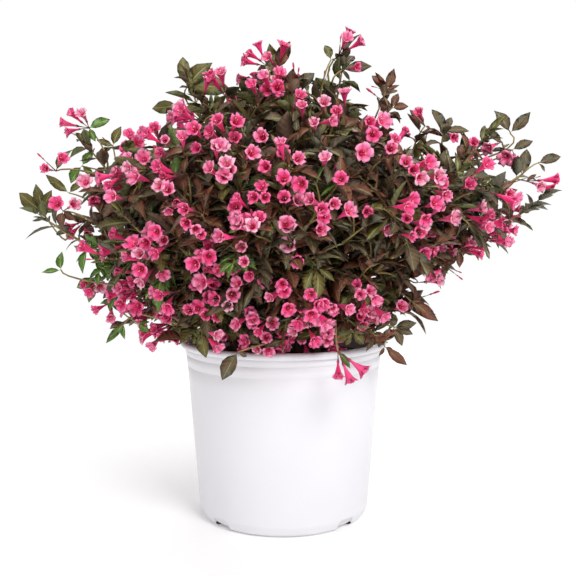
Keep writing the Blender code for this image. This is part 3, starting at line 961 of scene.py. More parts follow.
@dataclass
class Leaves:
    """Leaves gathered while the crown grows, one row for each leaf.

    A leaf's fold, droop, wave, breadth and sweep are drawn from the spans given here, as shares of
    its length or of its template's breadth.
    """

    fold: Span = (0.10, 0.70)
    droop: Span = (0.00, 0.45)
    wave: Span = (0.00, 0.05)
    breadth: Span = (0.62, 1.12)
    sweep: Span = (-0.12, 0.12)
    rows: list[tuple[Array, ...]] = field(default_factory=list)

    def add(self, *leaves: Array) -> None:
        """Takes leaves' roots, unit ways, ways that their faces turn, lengths, and places in `LeafTone`."""
        self.rows.append(leaves)

    def build(self, rng: np.random.Generator, replaced: list[str]) -> None:
        """Stamps each tone's leaves as one piece. A leaf is folded along its rib, droops and sweeps
        aside to its tip by the square of the way along it, and its edges wave.

        Args:
            rng: Draws each leaf's fold, droop, sweep, wave and breadth.
            replaced: Nodes that the first piece stands for.
        """
        template = LeafShape().template()
        roots, ways, faces, lengths, tones = (np.concatenate(part) for part in zip(*self.rows))
        normals = squared_off(faces, ways)
        sides = np.cross(ways, normals)
        count = len(roots)
        spans = (self.fold, self.droop, self.wave, (0.0, math.tau), self.breadth, self.sweep)
        fold, droop, wave, phase, breadth, sweep = (rng.uniform(*span, (count, 1)) for span in spans)
        x, y, z = template.points[:, 0], template.points[:, 1], template.points[:, 2]
        rise = z + fold * np.abs(x) - droop * y**2 + wave * np.sin(7.0 * y + phase) * np.sign(x)
        reach = y * (1.0 - 0.35 * droop * y)
        local = np.stack([x * breadth + sweep * y**2, reach, rise], -1) * lengths[:, None, None]
        points = roots[:, None] + local @ np.stack([sides, ways, normals], 1)
        for number, tone in enumerate(LeafTone):
            own = tones == number
            surface = template.placed(points[own])
            nodes = replaced if number == 0 else []
            put(f"leaves_{tone.value.tone}", surface, tone.value.make(), nodes)


@dataclass
class FlowerShape:
    """A trumpet flower with five round lobes, its axis +Z, closed, for stamping.

    The trumpet is a ring of ten points carried up the axis with growing radius. Each lobe is a patch
    from the trumpet's mouth to its rim: its half angle narrows and its radius grows along it. All
    sizes are shares of the flower's length.
    """

    lobes: int = 5
    heights: Row = (0.0, 0.32, 0.66)
    radii: Row = (0.032, 0.070, 0.160)
    lobe_heights: Row = (0.80, 0.880, 0.895)
    lobe_radii: Row = (0.198, 0.275, 0.345)
    lobe_spans: Row = (0.98, 1.03, 0.60)
    throat_heights: Row = (0.56, 0.46)
    throat_radii: Row = (0.110, 0.060)
    petal: float = 0.012
    lobe_cup: float = 0.030
    back_out: float = 0.020
    back_down: float = 0.030

    def ring(self, radius: float, height: float) -> Array:
        """Ten points round the axis, the even ones at the notches between lobes."""
        turns = np.arange(2 * self.lobes) * math.pi / self.lobes
        return np.stack([radius * np.cos(turns), radius * np.sin(turns), np.full(len(turns), height)], -1)

    def template(self) -> Surface:
        """Trumpet outside, throat inside, and five two-sided lobes between them.

        Returns:
            The flower, its slots being tube, throat, and a lobe's deep zone, petal and rim.
        """
        width = 2 * self.lobes
        points = [self.ring(radius, height) for radius, height in zip(self.radii, self.heights)]
        points.append(self.ring(self.radii[-1] - self.petal, self.heights[-1]))
        throat = zip(self.throat_radii, self.throat_heights)
        points += [self.ring(radius, height) for radius, height in throat]
        outer = np.arange(width) + 2 * width
        inner = outer + width
        deepest = inner + 2 * width
        quads = [grid_quads(3, width, True), grid_quads(3, width, True) + 3 * width]
        slots = [np.zeros(2 * width, dtype=int), np.repeat([2, 1], width)]
        fives = []
        threes = []
        first = 6 * width
        for lobe in range(self.lobes):
            patch, back = self.lobe(lobe)
            points += [patch, back]
            left, middle, right = 2 * lobe, 2 * lobe + 1, (2 * lobe + 2) % width
            rows = [[inner[left], inner[middle], inner[right]]]
            rows += [[first + 3 * step, first + 3 * step + 1, first + 3 * step + 2] for step in range(3)]
            back_middle = first + 9
            for step, (low, high) in enumerate(zip(rows, rows[1:])):
                quads.append(np.array([(low[k], high[k], high[k + 1], low[k + 1]) for k in range(2)]))
                slots.append(np.full(2, (3, 3, 4)[step]))
            near, far, rim = rows[1], rows[2], rows[3]
            left_side = (outer[left], outer[middle], back_middle, near[0])
            right_side = (outer[middle], outer[right], near[2], back_middle)
            quads.append(np.array([left_side, right_side]))
            slots.append(np.zeros(2, dtype=int))
            fives.append((near[0], back_middle, rim[1], rim[0], far[0]))
            fives.append((back_middle, near[2], far[2], rim[2], rim[1]))
            threes.append((near[0], inner[left], outer[left]))
            threes.append((inner[right], near[2], outer[right]))
            first += 10
        stacked = np.concatenate([part.reshape(-1, 3) for part in points])
        turns = np.arctan2(stacked[:, 1], stacked[:, 0]) / math.tau + 0.5
        ends = np.stack([np.arange(width)[::-1], deepest])
        backs = np.zeros(len(fives), dtype=int)
        slots = [np.concatenate(slots), backs, np.full(len(threes), 3), np.array([0, 1])]
        polygons = [np.concatenate(quads), np.array(fives), np.array(threes), ends]
        return Surface(stacked, polygons, slots, np.stack([turns, stacked[:, 2]], -1))

    def lobe(self, number: int) -> tuple[Array, Array]:
        """A lobe's three rows of three points, and the one point in the middle of its back.

        Args:
            number: The lobe, from 0.

        Returns:
            The rows' points, and the back's point.
        """
        centre = (2 * number + 1) * math.pi / self.lobes
        half = math.pi / self.lobes
        rows = []
        for height, radius, span in zip(self.lobe_heights, self.lobe_radii, self.lobe_spans):
            turns = centre + np.array([-1.0, 0.0, 1.0]) * half * span
            lift = height + np.array([self.lobe_cup, 0.0, self.lobe_cup])
            rows.append(np.stack([radius * np.cos(turns), radius * np.sin(turns), lift], -1))
        outward = (self.back_out * math.cos(centre), self.back_out * math.sin(centre), -self.back_down)
        back = (rows[0][1] + rows[1][1]) / 2 + outward
        return np.concatenate(rows), back[None]


@dataclass
class FlowerParts:
    """The small parts of a flower in the same measure: calyx with its ovary, style and anthers, and bud."""

    sepals: int = 5

    def calyx(self) -> Surface:
        """A slim ovary below the trumpet, and five narrow sepals along its foot.

        Returns:
            Ovary and sepals as one surface.
        """
        path = np.array([[(0.0, 0.0, -0.34), (0.0, 0.0, -0.17), (0.0, 0.0, 0.03)]])
        ovary = tubes(path, np.array([[0.016, 0.026, 0.034]]), 5)
        turns = np.arange(self.sepals) * math.tau / self.sepals
        out = np.stack([np.cos(turns), np.sin(turns), 0 * turns], -1)
        up = np.array((0.0, 0.0, 1.0))
        starts, bends, tips = out * 0.022 - up * 0.03, out * 0.05 + up * 0.06, out * 0.085 + up * 0.17
        paths = curve_points(starts, bends, tips, np.tile((0.0, 0.5, 1.0), (self.sepals, 1)))
        blades = tubes(paths, np.tile((0.010, 0.016, 0.003), (self.sepals, 1)), 3)
        return joined([ovary, blades])

    def stamens(self) -> Surface:
        """A style with a round stigma, and four short anthers about it.

        Returns:
            Style and anthers as one surface.
        """
        up = np.array((0.0, 0.0, 1.0))
        path = np.array([[up * 0.42, up * 0.86, up * 0.90, up * 0.94]])
        style = tubes(path, np.array([[0.007, 0.008, 0.026, 0.006]]), 4)
        turns = np.arange(4) * math.tau / 4 + 0.4
        out = np.stack([np.cos(turns), np.sin(turns), 0 * turns], -1) * 0.095
        paths = np.stack([out * 0.8 + up * 0.66, out + up * 0.72, out * 1.05 + up * 0.79], 1)
        anthers = tubes(paths, np.tile((0.004, 0.015, 0.005), (4, 1)), 3)
        return joined([style, anthers])

    def bud(self) -> Surface:
        """A closed bud.

        Returns:
            A slim club on its ovary.
        """
        heights = np.array((-0.02, 0.22, 0.48, 0.68, 0.80))
        path = np.stack([0 * heights, 0 * heights, heights], -1)[None]
        return tubes(path, np.array([[0.026, 0.045, 0.088, 0.078, 0.012]]), 7)


@dataclass
class Flowers:
    """Flowers and buds gathered while the crown grows: root, unit way, length, and a flower's age."""

    openness: Span = (-0.26, 0.10)
    bent: float = 0.16
    uneven: float = 0.085
    bud_colour: Colour = (0.58, 0.012, 0.10)
    calyx_colour: Colour = (0.16, 0.022, 0.030)
    stamen_colour: Colour = (0.88, 0.62, 0.60)
    blooms: list[tuple[Array, Array, float, int]] = field(default_factory=list)
    buds: list[tuple[Array, Array, float]] = field(default_factory=list)

    def shapes(self, template: Surface, count: int, rng: np.random.Generator) -> Array:
        """A shape of its own for each flower: its mouth opens more or less, its trumpet bends by the
        square of the height, and its lobes are uneven.

        Args:
            template: The flower.
            count: Flowers.
            rng: Draws them.

        Returns:
            (flowers, points, 3).
        """
        points = template.points
        mouth = np.clip((points[:, 2] - 0.5) / 0.4, 0.0, 1.0)[None, :, None]
        openness = rng.uniform(*self.openness, (count, 1, 1))
        bend = rng.uniform(-self.bent, self.bent, (count, 1, 2))
        uneven = rng.normal(0.0, self.uneven, (count, len(points), 1)) * mouth
        across = points[None, :, :2] * (1.0 + openness * mouth + uneven) + bend * points[:, 2:] ** 2
        up = points[None, :, 2:] * (1.0 + uneven * 0.3) - 0.10 * openness * mouth
        return np.concatenate([across, up], -1)

    def stamped(self, template: Surface, rows: tuple[Array, ...], shapes: Array | None = None) -> Surface:
        """Copies of a part, each stood on its root along its way, turned round it and scaled.

        Args:
            template: The part.
            rows: The copies' roots, unit ways, lengths, and angles that they are turned by.
            shapes: Their own points in place of the template's, if they differ.

        Returns:
            All copies as one surface.
        """
        roots, ways, lengths, turns = rows
        local = template.points[None] if shapes is None else shapes
        across = any_across(ways)
        other = np.cross(ways, across)
        cos, sin = np.cos(turns)[:, None], np.sin(turns)[:, None]
        axes = np.stack([across * cos + other * sin, other * cos - across * sin, ways], 1)
        return template.placed(roots[:, None] + (local * lengths[:, None, None]) @ axes)

    def build(self, rng: np.random.Generator) -> None:
        """Stamps the flowers by age, and the calyxes, stamens and buds each as one piece.

        Args:
            rng: Draws their turns and shapes.
        """
        roots, ways, lengths, ages = (np.array(part) for part in zip(*self.blooms))
        flowers = (roots, unit(ways), lengths, rng.uniform(0.0, math.tau, len(roots)))
        template = FlowerShape().template()
        shapes = self.shapes(template, len(roots), rng)
        for number, age in enumerate(BloomAge):
            own = ages == number
            surface = self.stamped(template, tuple(row[own] for row in flowers), shapes[own])
            put(f"flowers_{age.value.age}", surface, age.value.make(), [])
        parts = FlowerParts()
        roots, ways, lengths = (np.array(part) for part in zip(*self.buds))
        buds = (roots, unit(ways), lengths, rng.uniform(0.0, math.tau, len(roots)))
        club = self.stamped(parts.bud(), buds)
        put("flower_buds", club, [PetalFinish("bud_petal", self.bud_colour, 0.45).make()], [])
        every = tuple(np.concatenate(pair) for pair in zip(flowers, buds))
        calyxes = self.stamped(parts.calyx(), every)
        put("calyxes", calyxes, [PetalFinish("calyx", self.calyx_colour, 0.5).make()], [])
        stamens = self.stamped(parts.stamens(), flowers)
        put("stamens", stamens, [PetalFinish("stamen", self.stamen_colour, 0.6).make()], [])


@dataclass
class Twigs:
    """Curved shoots gathered while the crown grows, all drawn with the same number of points."""

    curves: list[tuple[Array, Array, Array]] = field(default_factory=list)
    radii: list[Span] = field(default_factory=list)

    def add(self, start: Array, bend: Array, end: Array, first: float, last: float) -> None:
        """Takes one shoot by the three points of its curve and its radius at both ends."""
        self.curves.append((start, bend, end))
        self.radii.append((first, last))

    def surface(self, points: int, sides: int) -> Surface:
        """All of them as tapering tubes.

        Args:
            points: Points along each.
            sides: Sides of each.

        Returns:
            One surface.
        """
        shares = np.tile(np.linspace(0.0, 1.0, points), (len(self.curves), 1))
        paths = curve_points(*(np.array(part) for part in zip(*self.curves)), shares)
        radii = np.array(self.radii)
        return tubes(paths, radii[:, :1] + (radii[:, 1:] - radii[:, :1]) * shares, sides)


@dataclass(frozen=True)
class Habit:
    """Sizes of the plant's habit, the same as in the source of its solids."""

    heart: Triple = (0.0, 0.0, 0.245)
    crown_centre: Triple = (0.0, 0.0, 0.420)
    cane_radius: float = 0.0046
    cane_tip_radius: float = 0.0030
    cane_share: float = 0.46
    foot_inner: float = 0.014
    foot_spread: float = 0.050
    foot_power: float = 1.5
    rise: float = 0.085
    lean: float = 0.10
    shoulder: float = 0.36
    low_lift: float = -0.26
    high_lift: float = 0.18
    lift_change: float = 0.30
    stem_tip_radius: float = 0.0013
    stem_short_of_tip: float = 0.064
    twig_angle: float = math.radians(48.0)
    twig_roots: Row = tuple(0.06 + 0.08 * step for step in range(11))
    last_stretch: Span = (0.80, 0.90)
    last_radii: Span = (0.0016, 0.0011)
    leader_shares: Span = (0.1, 0.3)
    leader_radii: Span = (0.0011, 0.0008)
    shoot_arch: Span = (0.14, 0.10)
    spray_arch: Span = (0.12, 0.12)
    shoot_radii: Row = (0.0021, 0.0016, 0.0012)
    shoot_tip_radius: float = 0.0009
    shoot_least: float = 0.012
    shoot_roots: Row = (0.35, 0.55, 0.75, 0.90)
    angle_cost: float = 1.4
    inward_cost: float = 2.0
    bloom_radii: Span = (0.0013, 0.0009)
    spray_radii: Span = (0.0016, 0.0009)
    free_spray_radii: Span = (0.0015, 0.0010)
    stalk_radii: Span = (0.0008, 0.0006)
    base_radii: Span = (0.0009, 0.0007)
    leaf_room: float = 0.042
    leaf_angle: float = math.radians(52.0)


TIPS: dict[str, tuple[Triple, ...]] = {
    "left_low": ((-0.250, -0.050, 0.255), (-0.305, 0.020, 0.303)),
    "left": ((-0.365, -0.010, 0.432), (-0.325, 0.040, 0.345)),
    "left_high": ((-0.300, 0.020, 0.538), (-0.310, -0.040, 0.500)),
    "top_left": ((-0.138, 0.000, 0.624), (-0.195, -0.030, 0.565)),
    "top": ((-0.015, 0.020, 0.642),),
    "top_right": ((0.088, -0.010, 0.653), (0.150, 0.030, 0.600)),
    "right_high": ((0.300, 0.000, 0.545), (0.215, -0.040, 0.550)),
    "right": ((0.376, -0.010, 0.450), (0.370, 0.030, 0.485), (0.294, -0.030, 0.364)),
    "right_low": ((0.213, -0.040, 0.283),),
}
FRONT_TIPS: dict[str, Triple] = {
    "left": (-0.200, -0.215, 0.430),
    "middle": (0.010, -0.290, 0.405),
    "right": (0.205, -0.215, 0.440),
    "low_left": (-0.152, -0.178, 0.238),
    "low_middle": (0.000, -0.215, 0.232),
    "low_right": (0.152, -0.178, 0.240),
    "high": (0.010, -0.180, 0.575),
}


def all_tips() -> dict[str, Array]:
    """Every mass's furthest tips, those in front repeated for the back.

    Returns:
        Tips by the mass's name, leader first.
    """
    tips = {name: np.array(ends) for name, ends in TIPS.items()}
    for name, tip in FRONT_TIPS.items():
        tips[f"front_{name}"] = np.array([tip])
        tips[f"back_{name}"] = np.array([(tip[0], -tip[1], tip[2])])
    return tips


@dataclass(frozen=True)
class Outline:
    """How far the close foliage reaches from the crown's centre, by the height that a way points to.

    The first reach is straight down, the last straight up, and the rest at even angles between. The
    photograph gives the right and left sides, and front and back follow their mean.
    """

    right: Row = (
        0.200, 0.210, 0.215, 0.212, 0.205, 0.232, 0.320,
        0.300, 0.205, 0.192, 0.198, 0.190, 0.185,
    )
    left: Row = (
        0.200, 0.200, 0.212, 0.218, 0.248, 0.280, 0.285,
        0.262, 0.208, 0.194, 0.190, 0.188, 0.185,
    )
    front: Row = (
        0.200, 0.200, 0.205, 0.212, 0.228, 0.262, 0.285,
        0.265, 0.220, 0.200, 0.198, 0.190, 0.185,
    )

    def reach(self, ways: Array) -> Array:
        """The reach along unit ways: the three profiles at a way's height, shared out by the squares
        of its level part's cosine and sine from the right.

        Args:
            ways: Unit directions from the crown's centre.

        Returns:
            Reach of each, in metres.
        """
        level = np.maximum(np.hypot(ways[:, 0], ways[:, 1]), 1e-9)
        angles = np.linspace(-90.0, 90.0, len(self.front))
        height = np.degrees(np.arctan2(ways[:, 2], level))
        across = (ways[:, 0] / level) ** 2
        sides = (self.right, self.left, self.front)
        right, left, front = (np.interp(height, angles, side) for side in sides)
        return np.where(ways[:, 0] > 0, right, left) * across + front * (1.0 - across)


@dataclass
class Route:
    """A limb's way from the compost to its mass's leading tip: straight up, then arching out and over."""

    tip: Array
    top: float
    habit: Habit

    def __post_init__(self) -> None:
        """Works out the four points of its cubic curve, by the source's rule."""
        habit = self.habit
        reach = self.tip - np.array(habit.heart)
        level = reach * (1.0, 1.0, 0.0)
        out = unit(level)
        height = math.asin(np.clip(reach[2] / np.linalg.norm(reach), -1.0, 1.0)) / (math.pi / 2)
        spread = (1.0 - max(height, 0.0)) ** habit.foot_power
        self.foot = out * (habit.foot_inner + habit.foot_spread * spread)
        self.foot[2] = self.top
        self.rise = self.foot + (0.0, 0.0, habit.rise) + level * habit.lean
        change = np.clip(height / habit.lift_change, 0.0, 1.0)
        lift = habit.low_lift + (habit.high_lift - habit.low_lift) * change
        way = unit(unit(reach) + (0.0, 0.0, lift))
        self.end = self.tip - way * habit.stem_short_of_tip
        self.shoulder = self.end - way * np.linalg.norm(self.end - self.foot) * habit.shoulder

    def at(self, shares: Array) -> Array:
        """Points of the cubic curve: its four points weighted by 1, 3, 3 and 1 times powers of the share.

        Args:
            shares: Shares of the way, from 0 to 1.

        Returns:
            One point for each.
        """
        t = np.atleast_1d(shares)[:, None]
        rest = 1.0 - t
        first = self.foot * rest**3 + self.rise * 3 * rest**2 * t
        return first + self.shoulder * 3 * rest * t**2 + self.end * t**3


@dataclass(frozen=True)
class Spray:
    """A spray that shows by itself at the crown's edge, read from the photograph by its pixels.

    Attributes:
        node: Where its leaves and flowers part.
        leaves: Its leaf tips.
        flowers: The mouths of its flowers.
        buds: The tips of its buds.
        by: A place that its shoot passes on its way, where it bends.
        depth: The node's place along Y, in metres.
        tone: Tone of its leaves.
    """

    node: Pixel
    leaves: tuple[Pixel, ...] = ()
    flowers: tuple[Pixel, ...] = ()
    buds: tuple[Pixel, ...] = ()
    by: Pixel | None = None
    depth: float = -0.02
    tone: LeafTone = BRONZE


LEFT_SPRAYS = (
    Spray(
        (89, 128), ((110, 117), (96, 142)), ((60, 123), (65, 131), (70, 113), (83, 111)),
        by=(104, 150), tone=GREEN,
    ),
    Spray((113, 146), ((120, 123), (98, 141), (104, 152)), buds=((102, 137),), by=(116, 165), tone=OLIVE),
    Spray((133, 152), ((121, 160), (146, 140)), ((131, 133), (139, 144), (125, 149))),
    Spray((82, 166), ((92, 149), (67, 184), (95, 176)), by=(100, 170), tone=GREEN),
    Spray((56, 171), ((71, 147),), ((45, 169), (61, 157)), buds=((37, 153),), by=(78, 170), tone=GREEN),
    Spray((69, 193), ((46, 175), (83, 181)), by=(88, 200), tone=OLIVE),
    Spray((42, 211), ((13, 192), (38, 183), (57, 209), (53, 190)), by=(62, 238), tone=OLIVE),
    Spray((63, 211), ((60, 229), (76, 222)), ((57, 203), (77, 203)), by=(80, 215)),
    Spray((90, 190), ((102, 200), (84, 199)), ((86, 182), (96, 202)), tone=OLIVE),
    Spray((84, 222), ((96, 234), (99, 217)), ((68, 226), (71, 234), (86, 237))),
    Spray((61, 270), ((58, 250), (42, 272)), by=(79, 279), tone=GREEN),
    Spray((87, 250), ((80, 274), (105, 263), (73, 247), (98, 244)), depth=-0.04, tone=GREEN),
    Spray((100, 268), ((114, 278), (96, 286), (120, 262)), depth=-0.06, tone=GREEN),
    Spray((98, 279), ((86, 303), (70, 289)), ((82, 284), (89, 291), (101, 288)), depth=-0.05, tone=GREEN),
    Spray((112, 301), ((102, 300), (120, 312)), ((96, 311), (111, 319)), depth=-0.05, tone=GREEN),
    Spray((124, 324), ((107, 343), (122, 341)), by=(134, 316), depth=-0.07, tone=GREEN),
    Spray((138, 323), ((150, 322), (149, 334)), by=(130, 312), depth=-0.07, tone=GREEN),
    Spray((171, 325), ((190, 339), (160, 316)), depth=-0.10, tone=OLIVE),
    Spray(
        (201, 328), ((205, 360), (218, 346), (193, 345)), ((217, 337), (217, 349)),
        depth=-0.15, tone=OLIVE,
    ),
    Spray((238, 352), ((219, 381), (249, 358)), depth=-0.175, tone=SLATE),
)
TOP_SPRAYS = (
    Spray((180, 106), ((145, 108),), by=(196, 112), tone=OLIVE),
    Spray((206, 113), ((181, 104), (228, 96), (250, 117), (196, 127)), ((238, 98),), depth=-0.04, tone=OLIVE),
    Spray((187, 87), ((178, 47), (210, 57), (233, 82)), by=(186, 100), tone=OLIVE),
    Spray((203, 103), (), ((207, 77),), depth=-0.03),
    Spray((262, 79), ((254, 88),), ((238, 78),), depth=-0.02),
    Spray((267, 66), ((255, 69),), ((257, 42), (249, 52), (243, 62)), by=(271, 80)),
    Spray((277, 70), ((288, 40), (270, 58)), ((286, 43), (267, 54)), tone=UMBER),
    Spray((271, 96), ((262, 104),), ((276, 77), (268, 87), (281, 89)), depth=-0.06),
    Spray((296, 90), ((315, 67), (284, 80)), buds=((293, 62), (299, 67)), depth=-0.02, tone=SLATE),
    Spray((322, 89), ((339, 82), (311, 82)), buds=((330, 68), (325, 70)), tone=SLATE),
    Spray((331, 60), ((326, 40), (338, 58)), by=(324, 78), tone=OLIVE),
    Spray((339, 55), (), ((351, 29), (363, 41), (346, 38)), buds=((341, 35),), by=(328, 74)),
    Spray((342, 70), ((372, 66), (352, 80)), ((360, 67),), by=(332, 82), tone=SLATE),
    Spray((386, 90), ((395, 68), (371, 71), (400, 85)), buds=((371, 86),)),
    Spray((392, 108), ((409, 105), (399, 92), (380, 97)), buds=((366, 88),)),
)
RIGHT_SPRAYS = (
    Spray((425, 126), ((411, 107), (434, 129)), ((419, 113),), buds=((413, 118),)),
    Spray((444, 132), ((433, 108), (455, 111), (470, 125)), ((456, 136),), tone=SLATE),
    Spray((470, 151), ((483, 160), (462, 143)), ((476, 143),)),
    Spray((502, 142), ((484, 130), (491, 138)), ((489, 147),), by=(498, 158), tone=SLATE),
    Spray((510, 133), ((497, 107), (530, 111)), by=(508, 148), tone=SLATE),
    Spray((512, 150), ((534, 137),), ((505, 156), (518, 162)), tone=SLATE),
    Spray((523, 174), ((527, 144), (512, 164)), tone=SLATE),
    Spray((538, 163), ((562, 156), (547, 171)), by=(522, 174), tone=SLATE),
    Spray((526, 181), ((537, 174),), ((543, 186), (558, 180), (553, 191)), buds=((541, 176),), by=(508, 186)),
    Spray((500, 196), ((518, 187), (490, 186)), ((519, 199), (511, 192))),
    Spray((500, 212), ((514, 206), (488, 222)), ((518, 219), (521, 210), (508, 225))),
    Spray((494, 229), ((505, 228), (482, 232)), ((509, 241), (516, 232))),
    Spray((458, 250), ((461, 268), (470, 252)), ((475, 241), (482, 253), (484, 246)), depth=-0.04),
    Spray((445, 266), ((440, 283), (452, 262)), ((434, 276),), buds=((462, 273), (463, 280)), depth=-0.05),
    Spray((411, 301), ((440, 323), (426, 303), (402, 316)), buds=((440, 291),), by=(398, 292), depth=-0.05),
    Spray((394, 327), ((417, 324), (415, 334), (404, 345), (390, 345)), depth=-0.08, tone=SLATE),
    Spray((385, 347), ((407, 367), (395, 352), (378, 355)), by=(376, 334), depth=-0.10),
    Spray((352, 332), ((368, 347), (345, 349), (364, 333)), depth=-0.14, tone=OLIVE),
    Spray((374, 333), ((386, 350), (367, 352)), depth=-0.12, tone=SLATE),
    Spray(
        (338, 351), ((353, 369),), ((338, 378), (351, 383), (366, 373)),
        by=(336, 338), depth=-0.165, tone=GREEN,
    ),
)

NAMED_SPRAYS = LEFT_SPRAYS + TOP_SPRAYS + RIGHT_SPRAYS

BLOOMS = (
    (326, 106, 1), (340, 107, 1), (182, 119, 1), (376, 118, 2), (227, 123, 2), (333, 121, 1), (209, 128, 1),
    (319, 127, 1), (263, 131, 1), (195, 134, 1), (380, 131, 1), (151, 140, 3), (179, 142, 1), (201, 138, 1),
    (213, 140, 1), (226, 137, 1), (285, 146, 1), (396, 144, 2), (357, 151, 1), (333, 156, 2), (159, 154, 1),
    (212, 153, 1), (244, 157, 1), (133, 162, 2), (123, 168, 2), (292, 162, 1), (110, 177, 2), (154, 174, 4),
    (219, 169, 3), (230, 177, 1), (268, 170, 1), (286, 174, 1), (301, 181, 1), (341, 180, 1), (418, 167, 4),
    (434, 173, 2), (447, 179, 2), (490, 171, 2), (143, 180, 1), (160, 188, 2), (258, 192, 3), (451, 188, 1),
    (110, 196, 1), (413, 194, 1), (325, 199, 2), (296, 203, 2), (477, 194, 1), (510, 199, 1), (169, 208, 2),
    (192, 207, 1), (237, 208, 1), (368, 209, 2), (325, 214, 2), (345, 212, 1), (396, 200, 1), (419, 217, 2),
    (431, 208, 2), (447, 217, 2), (481, 214, 2), (498, 220, 3), (382, 225, 1), (410, 231, 1), (425, 229, 1),
    (154, 224, 1), (180, 219, 1), (190, 225, 2), (240, 224, 2), (280, 229, 1), (316, 231, 1), (195, 236, 1),
    (141, 237, 1), (151, 242, 3), (205, 241, 3), (217, 244, 1), (232, 243, 1), (433, 244, 3), (453, 247, 3),
    (478, 243, 3), (506, 236, 4), (109, 246, 2), (158, 252, 1), (298, 252, 2), (131, 260, 4), (199, 258, 2),
    (222, 264, 1), (248, 264, 1), (236, 272, 1), (254, 275, 1), (147, 276, 2), (125, 281, 4), (204, 275, 2),
    (242, 287, 1), (272, 288, 2), (208, 289, 3), (284, 290, 1), (441, 287, 1), (363, 293, 3), (320, 296, 2),
    (157, 297, 3), (224, 301, 3), (278, 299, 2), (114, 296, 3), (129, 303, 5), (290, 304, 1), (368, 304, 3),
    (193, 308, 2), (318, 310, 2), (337, 311, 2), (380, 310, 2), (326, 315, 2), (402, 313, 1), (160, 315, 3),
    (131, 319, 4), (166, 322, 1), (208, 318, 3), (246, 318, 3), (302, 319, 3), (371, 323, 4), (270, 323, 2),
    (316, 324, 3), (261, 328, 3), (335, 331, 4), (304, 333, 3), (372, 334, 1), (233, 340, 4), (280, 341, 4),
    (258, 343, 4), (341, 345, 3), (308, 347, 4), (284, 351, 3), (269, 357, 3), (144, 338, 3), (156, 333, 3),
    (172, 337, 3), (213, 347, 2), (276, 81, 3), (255, 80, 1), (350, 90, 1), (300, 95, 1),
)


@dataclass
class Shoot:
    """One curved shoot with the nodes that its leaves stand at.

    Attributes:
        start: Its root.
        bend: The point that its curve is drawn towards.
        end: Its end.
        radii: Its radius at both ends.
        flowers: Flowers of the cluster at its end, or None where the rule deals them out.
        facing: The way that those flowers look, or None where the rule gives it.
        places: Its nodes, the last being its end, once they are laid.
        ways: The shoot's unit direction at each node.
        counts: Flowers of the cluster at each node, 0 for none.
    """

    start: Array
    bend: Array
    end: Array
    radii: Span
    flowers: int | None = None
    facing: Array | None = None
    places: Array = field(init=False)
    ways: Array = field(init=False)
    counts: Indices = field(init=False)

    def lay_nodes(self, step: float) -> None:
        """Spaces the nodes along the curve.

        Args:
            step: About how far apart, in metres.
        """
        length = np.linalg.norm(self.end - self.start)
        count = int(np.clip(round(length / step), 1, 6))
        shares = np.append((np.arange(count) + 0.55) / (count + 0.1), 1.0)[None]
        args = (self.start[None], self.bend[None], self.end[None], shares)
        self.places, self.ways = curve_points(*args)[0], curve_ways(*args)[0]
        self.counts = np.zeros(count + 1, dtype=int)
        self.counts[-1] = self.flowers or 0


@dataclass
class Mass:
    """One mass of foliage while it grows, with the middle of its cone and those of the others' cones.

    `rooting` holds the places on its wood where a shoot may root: place, way, and order from the stem.
    """

    name: str
    route: Route
    axis: Array
    others: Array
    shoots: list[Shoot] = field(default_factory=list)
    rooting: list[tuple[Array, Array, int]] = field(default_factory=list)

    def inside(self, points: Array, heart: Array, margin: float) -> Array:
        """True where a point keeps to the mass's cone, off every neighbour's by a margin."""
        planes = unit(self.axis - self.others)
        return ((points - heart) @ planes.T > margin).all(1)


